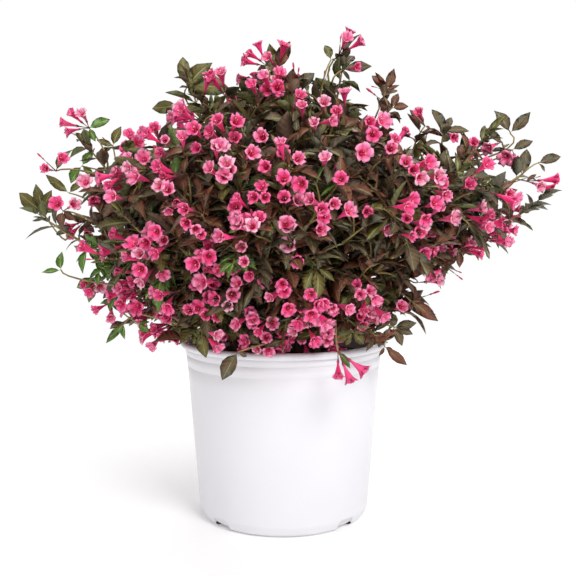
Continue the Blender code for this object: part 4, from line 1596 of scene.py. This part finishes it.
@dataclass
class Crown:
    """The canes, stems, twigs, leaves and flowers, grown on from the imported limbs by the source's rule."""

    habit: Habit
    top: float
    pot_height: float
    seed: int = 41
    spots: int = 46
    first_twigs: int = 10
    candidates: int = 1600
    shoot_most: float = 0.110
    node_step: float = 0.017
    stem_rows: int = 18
    leaf_length: Span = (0.026, 0.049)
    flower_length: Span = (0.021, 0.029)
    flower_reach: float = 0.040
    view: View = field(default_factory=View)
    outline: Outline = field(default_factory=Outline)
    free_sprays: int = 26
    cluster_gap: float = 0.035
    seen_side: float = 0.03
    pixels_apart: float = 41.0
    hem_height: float = 0.250
    hem_reach: float = 0.245
    to_camera: float = 0.34
    spray_spread: float = 0.045
    hem_depth: float = -0.09
    bloom_depth: Span = (0.93, 1.07)
    hem_bloom_depth: Span = (1.02, 1.10)
    hem_row: int = 290
    ray_ends: Span = (-0.33, 0.06)
    ray_steps: int = 79
    bloom_turn: float = 0.24
    raise_share: float = 0.6
    raise_all: float = 0.10
    free_spray_length: float = 0.045
    free_spray_most: int = 4
    half_depth: float = 0.30
    thinning: Span = (1.5, -0.25)
    thinnest: float = 0.12
    outer_depth: float = 0.72
    inner_gap: float = 1.5
    bloom_least: float = 0.55
    side_wait: float = 0.7
    most_at_end: int = 5
    most_beside: int = 3
    tone_weights: Row = (0.36, 0.13, 0.28, 0.22, 0.01)
    tone_greener: Row = (0.0, 0.0, 0.0, 0.5, 1.3)
    age_weights: Row = (0.56, 0.31, 0.13)
    bud_share: float = 0.12
    bud_size: float = 0.62
    mouth_share: float = 0.93
    bud_tip_share: float = 0.80
    ovary_share: float = 0.33
    length_for_reach: float = 1.42
    reach_for_length: float = 1.26
    length_bounds: Span = (0.014, 0.030)
    golden_turn: float = 2.4
    cluster_opening: Span = (0.15, 0.060)
    fork_turns: Row = (0.10, 0.75, -0.62)
    fork_sizes: Row = (1.0, 0.8, 0.62)
    spray_flower: Span = (0.033, 0.040)
    spray_bud: float = 0.6
    nearest: float = 0.008
    cane_rows: int = 30
    cane_sides: int = 14
    cane_sunk: float = 0.012

    def __post_init__(self) -> None:
        """Lays out the masses' routes and cones."""
        self.heart = np.array(self.habit.heart)
        self.centre = np.array(self.habit.crown_centre)
        self.rng = np.random.default_rng(self.seed)
        self.leaves = Leaves()
        self.flowers = Flowers()
        self.twigs = Twigs()
        self.stalks = Twigs()
        self.tips = all_tips()
        routes = {name: Route(ends[0], self.top, self.habit) for name, ends in self.tips.items()}
        axes = {name: self.cone_axis(route) for name, route in routes.items()}
        self.masses = [
            Mass(name, routes[name], axes[name], np.array([axes[other] for other in axes if other != name]))
            for name in routes
        ]

    def cone_axis(self, route: Route) -> Array:
        """The middle of a mass's cone: half way between its leading tip and its stem's middle."""
        middle = route.at((self.habit.cane_share + 1.0) / 2)[0]
        return unit(unit(route.tip - self.heart) + unit(middle - self.heart))

    def depth(self, points: Array) -> Array:
        """How far out points are: 0 at the crown's centre and 1 on its outline.

        Args:
            points: (points, 3).

        Returns:
            One depth for each point.
        """
        reach = points - self.centre
        distance = np.linalg.norm(reach, axis=1)
        return distance / self.outline.reach(reach / np.maximum(distance, 1e-9)[:, None])

    def above_hem(self, points: Array) -> Array:
        """True where a point doesn't hang beside the pot: above the hem, or well outside the lip."""
        return (np.hypot(points[:, 0], points[:, 1]) > self.hem_reach) | (points[:, 2] > self.hem_height)

    def add_leaves(self, roots: Array, ways: Array, faces: Array, lengths: Array, tones: Array) -> None:
        """Takes the leaves whose tips keep above the hem, as rows for `Leaves.add`."""
        kept = self.above_hem(roots + ways * lengths[:, None])
        self.leaves.add(roots[kept], ways[kept], faces[kept], lengths[kept], tones[kept])

    def towards(self, points: Array) -> Array:
        """The way that a leaf's face turns at a point: outwards from the heart, and up to the light."""
        return unit(unit(points - self.heart) * 0.6 + np.array((0.0, 0.0, 0.7)))

    def free_spots(self, mass: Mass) -> Array:
        """Places in a mass's cone, a leaf's room inside the outline, thinned out towards the centre.

        Args:
            mass: The mass.

        Returns:
            (places, 3), in seeded order.
        """
        half = max(self.outline.right), max(self.outline.front), max(self.outline.front)
        reach = self.rng.uniform(-1.0, 1.0, (self.candidates * 16, 3)) * half
        spots = self.centre + reach
        outward = spots + unit(spots - self.heart) * self.habit.leaf_room
        depth = self.depth(outward)
        share = np.clip(depth * self.thinning[0] + self.thinning[1], self.thinnest, 1.0)
        kept = (depth < 1.0) & (self.rng.uniform(size=len(spots)) < share)
        kept &= self.above_hem(spots) & mass.inside(spots, self.heart, 0.002)
        return spots[kept][: self.candidates]

    def tone(self, point: Array) -> int:
        """A tone for the leaves of one spray: mostly dark, and greener to the left and low down.

        Args:
            point: Where the spray is.

        Returns:
            The tone's place in `LeafTone`.
        """
        left = np.clip((-point[0] - 0.10) / 0.16, 0.0, 1.0)
        low = np.clip((0.40 - point[2]) / 0.12, 0.0, 1.0)
        green = left * (0.25 + 0.5 * low)
        weights = np.array(self.tone_weights) + np.array(self.tone_greener) * green
        return int(self.rng.choice(len(weights), p=weights / weights.sum()))

    def facing(self, places: Array) -> Array:
        """The way that flowers look: outwards from the crown's centre, and never far down.

        Args:
            places: (places, 3).

        Returns:
            One unit direction for each place.
        """
        outward = unit(places - self.centre)
        lowered = np.minimum(outward[:, 2], 0.0) * self.raise_share - self.raise_all
        return unit(outward - np.stack([0 * lowered, 0 * lowered, lowered], -1))

    def choose_blooms(self) -> None:
        """Deals out flower clusters over the outer nodes: in seeded order, each node takes one where no
        nearer cluster stands within the gap. Ends of shoots come first. On the side that the
        photograph shows, only nodes well off every cluster that is read from it may take one.
        """
        rows = []
        for mass in self.masses:
            for shoot in mass.shoots:
                shoot.lay_nodes(self.node_step)
                if shoot.flowers is None:
                    rows += [(shoot, number) for number in range(len(shoot.places))]
        places = np.array([shoot.places[number] for shoot, number in rows])
        at_end = np.array([number == len(shoot.places) - 1 for shoot, number in rows])
        depth = self.depth(places)
        gaps = self.cluster_gap * np.where(depth > self.outer_depth, 1.0, self.inner_gap)
        mouths = self.view.pixels(places + self.facing(places) * self.flower_reach)
        read = [(across, down) for across, down, _ in BLOOMS]
        read += [mouth for spray in NAMED_SPRAYS for mouth in spray.flowers + spray.leaves]
        apart = np.linalg.norm(mouths[:, None] - np.array(read)[None], axis=-1).min(1)
        free = (places[:, 1] > self.seen_side) | (apart > self.pixels_apart)
        free &= depth > self.bloom_least
        taken = np.array([self.centre])
        for row in np.argsort(self.rng.uniform(size=len(rows)) + np.where(at_end, 0.0, self.side_wait)):
            if not free[row] or np.linalg.norm(taken - places[row], axis=1).min() < gaps[row]:
                continue
            shoot, number = rows[row]
            most = self.most_at_end if at_end[row] else self.most_beside
            shoot.counts[number] = self.rng.integers(1, most + 1)
            taken = np.vstack([taken, places[row]])

    def grow(self) -> None:
        """Grows every mass, then the clusters and sprays that the photograph shows."""
        for mass in self.masses:
            self.grow_stem(mass)
            self.grow_twigs(mass)
        for across, down, flowers in BLOOMS:
            self.grow_bloom((across, down), flowers)
        for spray in NAMED_SPRAYS:
            self.grow_spray(spray)
        for tip in self.more_tips():
            self.grow_free_spray(tip)
        self.choose_blooms()
        for mass in self.masses:
            for shoot in mass.shoots:
                self.dress(shoot)

    def more_tips(self) -> Array:
        """Tips of sprays for the rest of the crown's edge, towards its front and back, on seeded ways.

        Returns:
            (tips, 3).
        """
        ways = unit(self.rng.normal(size=(self.free_sprays * 6, 3)) * (0.55, 1.0, 0.55) + (0.0, 0.0, 0.12))
        reach = self.outline.reach(ways) * self.rng.uniform(1.02, 1.12, len(ways))
        tips = self.centre + ways * reach[:, None]
        clear = self.above_hem(tips) & (np.abs(ways[:, 1]) > 0.35) & (tips[:, 2] > self.pot_height + 0.03)
        clear &= np.abs(tips[:, 1]) < self.half_depth
        return tips[clear][: self.free_sprays]

    def grow_stem(self, mass: Mass) -> None:
        """The places of the stem that twigs may root on, its last stretch, and its leader.

        Args:
            mass: The mass whose stem it is.
        """
        habit = self.habit
        share = habit.cane_share
        shares = share + (1.0 - share) * np.array(habit.twig_roots)
        places = mass.route.at(shares)
        ways = unit(mass.route.at(shares + 0.01) - places)
        mass.rooting = [(place, way, 0) for place, way in zip(places, ways)]
        start, bend = mass.route.at(np.array(habit.last_stretch))
        end = mass.route.at(1.0)[0]
        way = unit(mass.route.tip - end)
        mass.shoots.append(Shoot(start, bend, end, habit.last_radii))
        length = np.linalg.norm(mass.route.tip - end)
        first, last = (end + way * length * share for share in habit.leader_shares)
        mass.shoots.append(Shoot(end, first, last, habit.leader_radii, 0))

    def best_root(self, mass: Mass, spot: Array, orders: tuple[int, ...]) -> tuple[Array, Array, int]:
        """The place on wood of some orders that reaches a spot at the least cost.

        The cost is the distance, made longer by how far the angle is off the usual one, and by how
        much further from the heart the root is than the spot.

        Args:
            mass: The mass whose wood it is.
            spot: Where the shoot is to end.
            orders: Orders of wood that it may root on.

        Returns:
            The place, the wood's unit way there, and its order.
        """
        rows = [row for row in mass.rooting if row[2] in orders]
        places = np.array([row[0] for row in rows])
        ways = np.array([row[1] for row in rows])
        reach = spot - places
        distance = np.linalg.norm(reach, axis=1)
        angle = np.arccos(np.clip((unit(reach) * ways).sum(1), -1.0, 1.0))
        inward = np.linalg.norm(places - self.heart, axis=1) - np.linalg.norm(spot - self.heart)
        cost = distance * (1.0 + self.habit.angle_cost * (angle - self.habit.twig_angle) ** 2)
        cost += np.maximum(inward, 0.0) * self.habit.inward_cost
        return rows[int(cost.argmin())]

    def grow_twigs(self, mass: Mass) -> None:
        """Side twigs to the furthest free spots first, then finer shoots from them to those between.

        Args:
            mass: The mass that they grow in.
        """
        spots = self.free_spots(mass)
        taken = np.concatenate([self.tips[mass.name], mass.route.at(1.0)])
        near = np.linalg.norm(spots[:, None] - taken[None], axis=-1).min(1)
        for number in range(self.spots):
            best = int(near.argmax())
            spot = spots[best].copy()
            near = np.minimum(near, np.linalg.norm(spots - spot, axis=1))
            orders = (0,) if number < self.first_twigs else (0, 1, 2)
            self.grow_shoot(mass, spot, orders)

    def arched(self, root: Array, end: Array, way: Array, arch: Span) -> Array:
        """Half way between two points, plus two shares of their distance: along the parent's way, and up."""
        length = np.linalg.norm(end - root)
        return (root + end) / 2 + way * length * arch[0] + np.array((0.0, 0.0, arch[1])) * length

    def grow_shoot(self, mass: Mass, spot: Array, orders: tuple[int, ...]) -> None:
        """One curved shoot to a spot: it leaves along its parent's way and lifts to the light.

        Args:
            mass: The mass that it grows in.
            spot: Its end.
            orders: Orders of wood that it may root on.
        """
        habit = self.habit
        root, way, order = self.best_root(mass, spot, orders)
        length = np.linalg.norm(spot - root)
        if length < habit.shoot_least or (order > 0 and length > self.shoot_most):
            return
        thick = habit.shoot_radii[min(order, 2)]
        bend = self.arched(root, spot, way, habit.shoot_arch)
        shoot = Shoot(root, bend, spot, (thick, habit.shoot_tip_radius))
        mass.shoots.append(shoot)
        self.root_on(mass, shoot, order)

    def root_on(self, mass: Mass, shoot: Shoot, order: int) -> None:
        """Lets later shoots root on this one, which grows on wood of an order."""
        args = (shoot.start[None], shoot.bend[None], shoot.end[None], np.array([self.habit.shoot_roots]))
        mass.rooting += [(*row, order + 1) for row in zip(curve_points(*args)[0], curve_ways(*args)[0])]

    def mass_at(self, place: Array) -> Mass:
        """The mass whose cone a place lies in."""
        way = unit(place - self.heart)
        return max(self.masses, key=lambda mass: float(mass.axis @ way))

    def grow_bloom(self, pixel: Pixel, flowers: int) -> None:
        """A shoot to a cluster that shows on the crown's face: its flowers' mouths stand where the ray
        through its pixel first comes within a drawn share of the outline, or closest to it.

        Args:
            pixel: Where the cluster shows.
            flowers: Its flowers.
        """
        ray = self.view.seen_at(pixel, np.linspace(*self.ray_ends, self.ray_steps))
        depth = self.depth(ray)
        reach = self.bloom_depth if pixel[1] < self.hem_row else self.hem_bloom_depth
        near = depth < self.rng.uniform(*reach)
        met = ray[int(np.argmax(near))] if near.any() else ray[int(depth.argmin())]
        outward = self.facing(met[None])[0] + (0.0, -self.to_camera, 0.0)
        facing = unit(outward + self.rng.normal(0.0, self.bloom_turn, 3))
        end = met - facing * self.flower_reach
        mass = self.mass_at(end)
        root, way, _ = self.best_root(mass, end, (0, 1, 2))
        bend = self.arched(root, end, way, self.habit.shoot_arch)
        mass.shoots.append(Shoot(root, bend, end, self.habit.bloom_radii, flowers, facing))

    def grow_spray(self, spray: Spray) -> None:
        """A spray of the crown's edge on a long shoot of its own: leaves to their tips, flowers to
        their mouths, and two pairs of leaves lower down a shoot that passes no place on its way.

        Args:
            spray: The spray.
        """
        depth = spray.depth
        if depth > self.hem_depth:
            depth += self.rng.uniform(-self.spray_spread, self.spray_spread)
        end = self.view.place_at(spray.node, depth)
        mass = self.mass_at(end)
        passed = end if spray.by is None else self.view.place_at(spray.by, depth)
        root, along, _ = self.best_root(mass, passed, (0, 1, 2))
        bend = self.arched(root, end, along, self.habit.spray_arch)
        if spray.by is not None:
            bend = 2.0 * passed - (root + end) / 2
        self.twigs.add(root, bend, end, *self.habit.spray_radii)
        tone = list(LeafTone).index(spray.tone)
        if spray.leaves:
            tips = np.array([self.view.place_at(tip, depth) for tip in spray.leaves])
            tips[:, 1] += self.rng.uniform(-0.010, 0.006, len(tips))
            reach = tips - end
            faces = self.towards(tips) * 0.35 + (0.0, -1.0, 0.0) + self.rng.normal(0.0, 0.16, reach.shape)
            ends, tones = np.tile(end, (len(tips), 1)), np.full(len(tips), tone)
            self.leaves.add(ends, unit(reach), faces, np.linalg.norm(reach, axis=1), tones)
        for tip in spray.flowers + spray.buds:
            bud = tip in spray.buds
            flat = np.linalg.norm(self.view.place_at(tip, depth) - end)
            whole = self.rng.uniform(*self.spray_flower) * (self.spray_bud if bud else 1.0)
            nearer = math.sqrt(max(whole**2 - flat**2, self.nearest**2))
            self.add_flower(end, self.view.place_at(tip, depth - nearer), bud)
        shares = np.array([[0.50, 0.78]])
        args = (root[None], bend[None], end[None], shares)
        lengths = self.rng.uniform(self.leaf_length[0], np.mean(self.leaf_length), 2)
        if spray.by is None:
            turns = np.array([0.5, 2.1])
            self.add_pairs(curve_points(*args)[0], curve_ways(*args)[0], turns, lengths, np.full(2, tone))

    def grow_free_spray(self, tip: Array) -> None:
        """A spray of the crown's edge away from the photograph's view, in leaves or in flowers.

        Args:
            tip: Where it ends.
        """
        mass = self.mass_at(tip)
        way = unit(tip - self.heart)
        end = tip - way * self.free_spray_length
        root, along, _ = self.best_root(mass, end, (0, 1, 2))
        bend = self.arched(root, end, along, self.habit.spray_arch)
        flowers = int(self.rng.integers(0, self.free_spray_most + 1))
        mass.shoots.append(Shoot(root, bend, end, self.habit.free_spray_radii, flowers))

    def add_flower(self, node: Array, mouth: Array, bud: bool) -> None:
        """A flower or a bud, its ovary and stalk reaching back to a node.

        Args:
            node: Where its stalk stands.
            mouth: Where its mouth or its tip is.
            bud: Whether it is a bud.
        """
        reach = mouth - node
        distance = float(np.linalg.norm(reach))
        direction = reach / distance
        length = float(np.clip(distance / self.length_for_reach, *self.length_bounds))
        if bud:
            length *= self.bud_size
        root = mouth - direction * length * (self.bud_tip_share if bud else self.mouth_share)
        foot = root - direction * length * self.ovary_share
        self.stalks.add(node, (node + foot) / 2, foot, *self.habit.stalk_radii)
        if bud:
            self.flowers.buds.append((root, direction, length))
        else:
            age = int(self.rng.choice(len(self.age_weights), p=self.age_weights))
            self.flowers.blooms.append((root, direction, length, age))

    def add_fork(self, end: Array, way: Array, length: float, tone: int) -> None:
        """Three leaves that open at a shoot's end, the first the longest.

        Args:
            end: The shoot's end.
            way: Its unit way there.
            length: Length of the longest leaf.
            tone: Place of their tone in `LeafTone`.
        """
        side = squared_off(np.cross(way, self.towards(end[None])[0]) + self.rng.normal(0.0, 0.2, 3), way)
        turns = np.array(self.fork_turns)
        ways = np.cos(turns)[:, None] * way + np.sin(turns)[:, None] * side
        sizes = np.array(self.fork_sizes) * length
        faces = self.towards(np.tile(end, (3, 1))) + self.rng.normal(0.0, 0.25, (3, 3))
        self.add_leaves(np.tile(end, (3, 1)), unit(ways), faces, sizes, np.full(3, tone))

    def add_pairs(self, places: Array, ways: Array, turns: Array, lengths: Array, tones: Indices) -> None:
        """Opposite leaves at nodes, each pair turned round the shoot by its own angle.

        Args:
            places: Nodes, (nodes, 3).
            ways: Unit directions of the shoot there.
            turns: Angles of the pairs.
            lengths: Leaf lengths.
            tones: Place of the tone in `LeafTone`, for each node.
        """
        across = any_across(ways)
        spoke = across * np.cos(turns)[:, None] + np.cross(ways, across) * np.sin(turns)[:, None]
        for sign in (1.0, -1.0):
            angle = self.habit.leaf_angle + self.rng.normal(0.0, 0.16, len(places))[:, None]
            way = ways * np.cos(angle) + spoke * (sign * np.sin(angle))
            way += self.rng.normal(0.0, 0.10, way.shape)
            faces = self.towards(places) + self.rng.normal(0.0, 0.28, way.shape)
            sizes = lengths * self.rng.uniform(0.82, 1.12, len(places))
            self.add_leaves(places, unit(way), faces, sizes, tones)

    def add_cluster(self, node: Array, way: Array, count: int) -> None:
        """Flowers that spread from one short stalk, each on its ovary, with a few buds among them.

        Args:
            node: Where the stalk stands.
            way: The unit way that the cluster looks.
            count: Its flowers and buds.
        """
        base = node + way * self.rng.uniform(0.003, 0.008)
        self.stalks.add(node, (node + base) / 2, base, *self.habit.base_radii)
        across = any_across(way[None])[0]
        other = np.cross(way, across)
        start = self.rng.uniform(0.0, math.tau)
        for number in range(count):
            turn = start + number * self.golden_turn
            opening = self.cluster_opening[0] + self.cluster_opening[1] * count + self.rng.normal(0.0, 0.08)
            spoke = across * math.cos(turn) + other * math.sin(turn)
            direction = unit(way * math.cos(opening) + spoke * math.sin(opening))
            length = self.rng.uniform(*self.flower_length)
            reach = length * self.reach_for_length + self.rng.uniform(0.001, 0.007)
            bud = number > 0 and self.rng.uniform() < self.bud_share
            self.add_flower(base, base + direction * reach * (0.75 if bud else 1.0), bud)

    def dress(self, shoot: Shoot) -> None:
        """Leaves at the nodes of a shoot, a fork or flowers at its end, and flowers at its chosen nodes.

        Args:
            shoot: The shoot, its nodes laid.
        """
        self.twigs.add(shoot.start, shoot.bend, shoot.end, *shoot.radii)
        count = len(shoot.places) - 1
        turns = self.rng.uniform(0.0, math.pi) + np.arange(count) * math.pi / 2
        lengths = self.rng.uniform(*self.leaf_length, count)
        tone = self.tone(shoot.end)
        self.add_pairs(shoot.places[:-1], shoot.ways[:-1], turns, lengths, np.full(count, tone))
        if shoot.counts[-1] == 0:
            self.add_fork(shoot.end, shoot.ways[-1], self.rng.uniform(*self.leaf_length), tone)
        for place, way, flowers in zip(shoot.places, shoot.ways, shoot.counts):
            if flowers:
                drawn = unit(self.facing(place[None])[0] + way * 0.35 + self.rng.normal(0.0, 0.27, 3))
                self.add_cluster(place, drawn if shoot.facing is None else shoot.facing, int(flowers))

    def canes(self) -> Surface:
        """The canes with the bark's relief, sunk into the compost. Each radius is times 1 plus two
        sines round the limb that turn along it, and times 1 plus a sharp sine along it at its nodes.

        Returns:
            All canes as one surface.
        """
        rows, sides = self.cane_rows, self.cane_sides
        shares = np.linspace(0.0, self.habit.cane_share, rows)
        paths = np.array([mass.route.at(shares) for mass in self.masses])
        paths[:, 0, 2] -= self.cane_sunk
        taper = np.linspace(self.habit.cane_radius, self.habit.cane_tip_radius, rows)
        knots = 1.0 + 0.10 * np.sin(np.linspace(0.0, 9.0 * math.tau, rows)) ** 8
        surface = tubes(paths, np.tile(taper * knots, (len(paths), 1)), sides)
        turn = np.arange(sides)[None, None] * math.tau / sides
        along = np.arange(rows)[None, :, None]
        phase = self.rng.uniform(0.0, math.tau, (len(paths), 1, 1))
        broad = 0.07 * np.sin(4 * turn + phase + 0.22 * along)
        fine = 0.05 * np.sin(7 * turn - phase - 0.4 * along)
        middles = paths[:, :, None]
        spokes = surface.points.reshape(len(paths), rows, sides, 3) - middles
        surface.points = (middles + spokes * (1.0 + broad + fine)[..., None]).reshape(-1, 3)
        return surface

    def stems(self) -> Surface:
        """Each mass's stem, going on from its cane to its leader's root.

        Returns:
            All stems as one surface.
        """
        shares = np.linspace(self.habit.cane_share - 0.004, 1.0, self.stem_rows)
        paths = np.array([mass.route.at(shares) for mass in self.masses])
        radii = np.linspace(self.habit.cane_tip_radius, self.habit.stem_tip_radius, self.stem_rows)
        return tubes(paths, np.tile(radii, (len(paths), 1)), 8)

    def build(self) -> None:
        """Grows the plant, and puts its wood, leaves and flowers in the place of their nodes."""
        self.grow()
        names = [mass.name for mass in self.masses]
        brown = BarkFinish("cane_bark", (0.13, 0.075, 0.045), (0.26, 0.17, 0.105), 9.0, 0.0009).make()
        young = BarkFinish("twig_bark", (0.190, 0.115, 0.040), (0.34, 0.27, 0.090), 5.0, 0.0003).make()
        stalk = BarkFinish("stalk", (0.17, 0.045, 0.035), (0.19, 0.12, 0.05), 3.0, 0.0001).make()
        put("canes", self.canes(), [brown], [f"cane_{name}" for name in names])
        put("stems", self.stems(), [young], [])
        put("twigs", self.twigs.surface(7, 6), [young], [])
        put("flower_stalks", self.stalks.surface(3, 4), [stalk], [])
        self.leaves.build(self.rng, [f"foliage_{name}" for name in names])
        self.flowers.build(self.rng)


@dataclass
class Studio:
    """The camera at the photograph's angle, a plain pale floor and plain soft light."""

    view: View = field(default_factory=View)
    floor_half: float = 1.5
    floor_drop: float = 0.0004
    floor_glow: float = 0.10
    surround: float = 0.62
    aim: Triple = (0.0, 0.0, 0.35)

    def build(self) -> None:
        """Makes all three."""
        self.camera()
        self.floor()
        self.light("key", (1.3, -2.2, 2.2), 1.2, 56.0)
        self.light("fill", (-0.7, -2.4, 0.5), 1.8, 10.0)
        self.light("top", (0.0, 0.2, 3.0), 2.0, 26.0)
        self.light("back", (0.4, 2.4, 1.6), 2.0, 20.0)
        self.sky()

    def camera(self) -> None:
        """A camera with no roll that looks a little down."""
        data = bpy.data.cameras.new("camera")
        data.lens = self.view.lens
        data.sensor_width = self.view.sensor
        camera = bpy.data.objects.new("camera", data)
        camera.location = self.view.place
        camera.rotation_euler = (self.view.pitch, 0.0, 0.0)
        bpy.context.scene.collection.objects.link(camera)
        bpy.context.scene.camera = camera

    def floor(self) -> None:
        """A wide pale sheet under the pot."""
        mesh = bpy.data.meshes.new("floor")
        corners = [
            (x * self.floor_half, y * self.floor_half, -self.floor_drop)
            for x, y in ((-1, -1), (1, -1), (1, 1), (-1, 1))
        ]
        mesh.from_pydata(corners, [], [(0, 1, 2, 3)])
        paper = Finish("floor_paper", (0.95, 0.95, 0.95), 0.9)
        paper.shader.inputs["Emission Color"].default_value = (1.0, 1.0, 1.0, 1.0)
        paper.shader.inputs["Emission Strength"].default_value = self.floor_glow
        mesh.materials.append(paper.material)
        sheet = bpy.data.objects.new("floor", mesh)
        bpy.context.scene.collection.objects.link(sheet)

    def light(self, name: str, place: Triple, size: float, power: float) -> None:
        """A soft square light aimed at the plant.

        Args:
            name: Its name.
            place: Where it stands.
            size: Its side, in metres.
            power: In watts.
        """
        data = bpy.data.lights.new(name, "AREA")
        data.size = size
        data.energy = power
        lamp = bpy.data.objects.new(name, data)
        lamp.location = place
        aim = np.array(self.aim) - np.array(place)
        level = math.hypot(aim[0], aim[1])
        lamp.rotation_euler = (math.atan2(level, -aim[2]), 0.0, math.atan2(-aim[0], aim[1]))
        bpy.context.scene.collection.objects.link(lamp)

    def sky(self) -> None:
        """An even surround, white behind the object and softer as a light on it."""
        world = bpy.data.worlds.new("surround")
        world.use_nodes = True
        tree = world.node_tree
        ground = tree.nodes["Background"]
        ground.inputs["Color"].default_value = (1.0, 1.0, 1.0, 1.0)
        ray = tree.nodes.new("ShaderNodeLightPath")
        share = tree.nodes.new("ShaderNodeMapRange")
        share.inputs["To Min"].default_value = self.surround
        share.inputs["To Max"].default_value = 1.0
        tree.links.new(ray.outputs["Is Camera Ray"], share.inputs["Value"])
        tree.links.new(share.outputs["Result"], ground.inputs["Strength"])
        bpy.context.scene.world = world
        bpy.context.scene.view_settings.view_transform = "Standard"


def main() -> None:
    logging.basicConfig(level=logging.INFO, format="%(name)s %(message)s")
    Studio().build()
    pot = Pot()
    pot.build()
    compost = Compost(pot)
    compost.build()
    Crown(Habit(), compost.top + FOOT_GAP, pot.height).build()


if __name__ == "__main__":
    main()
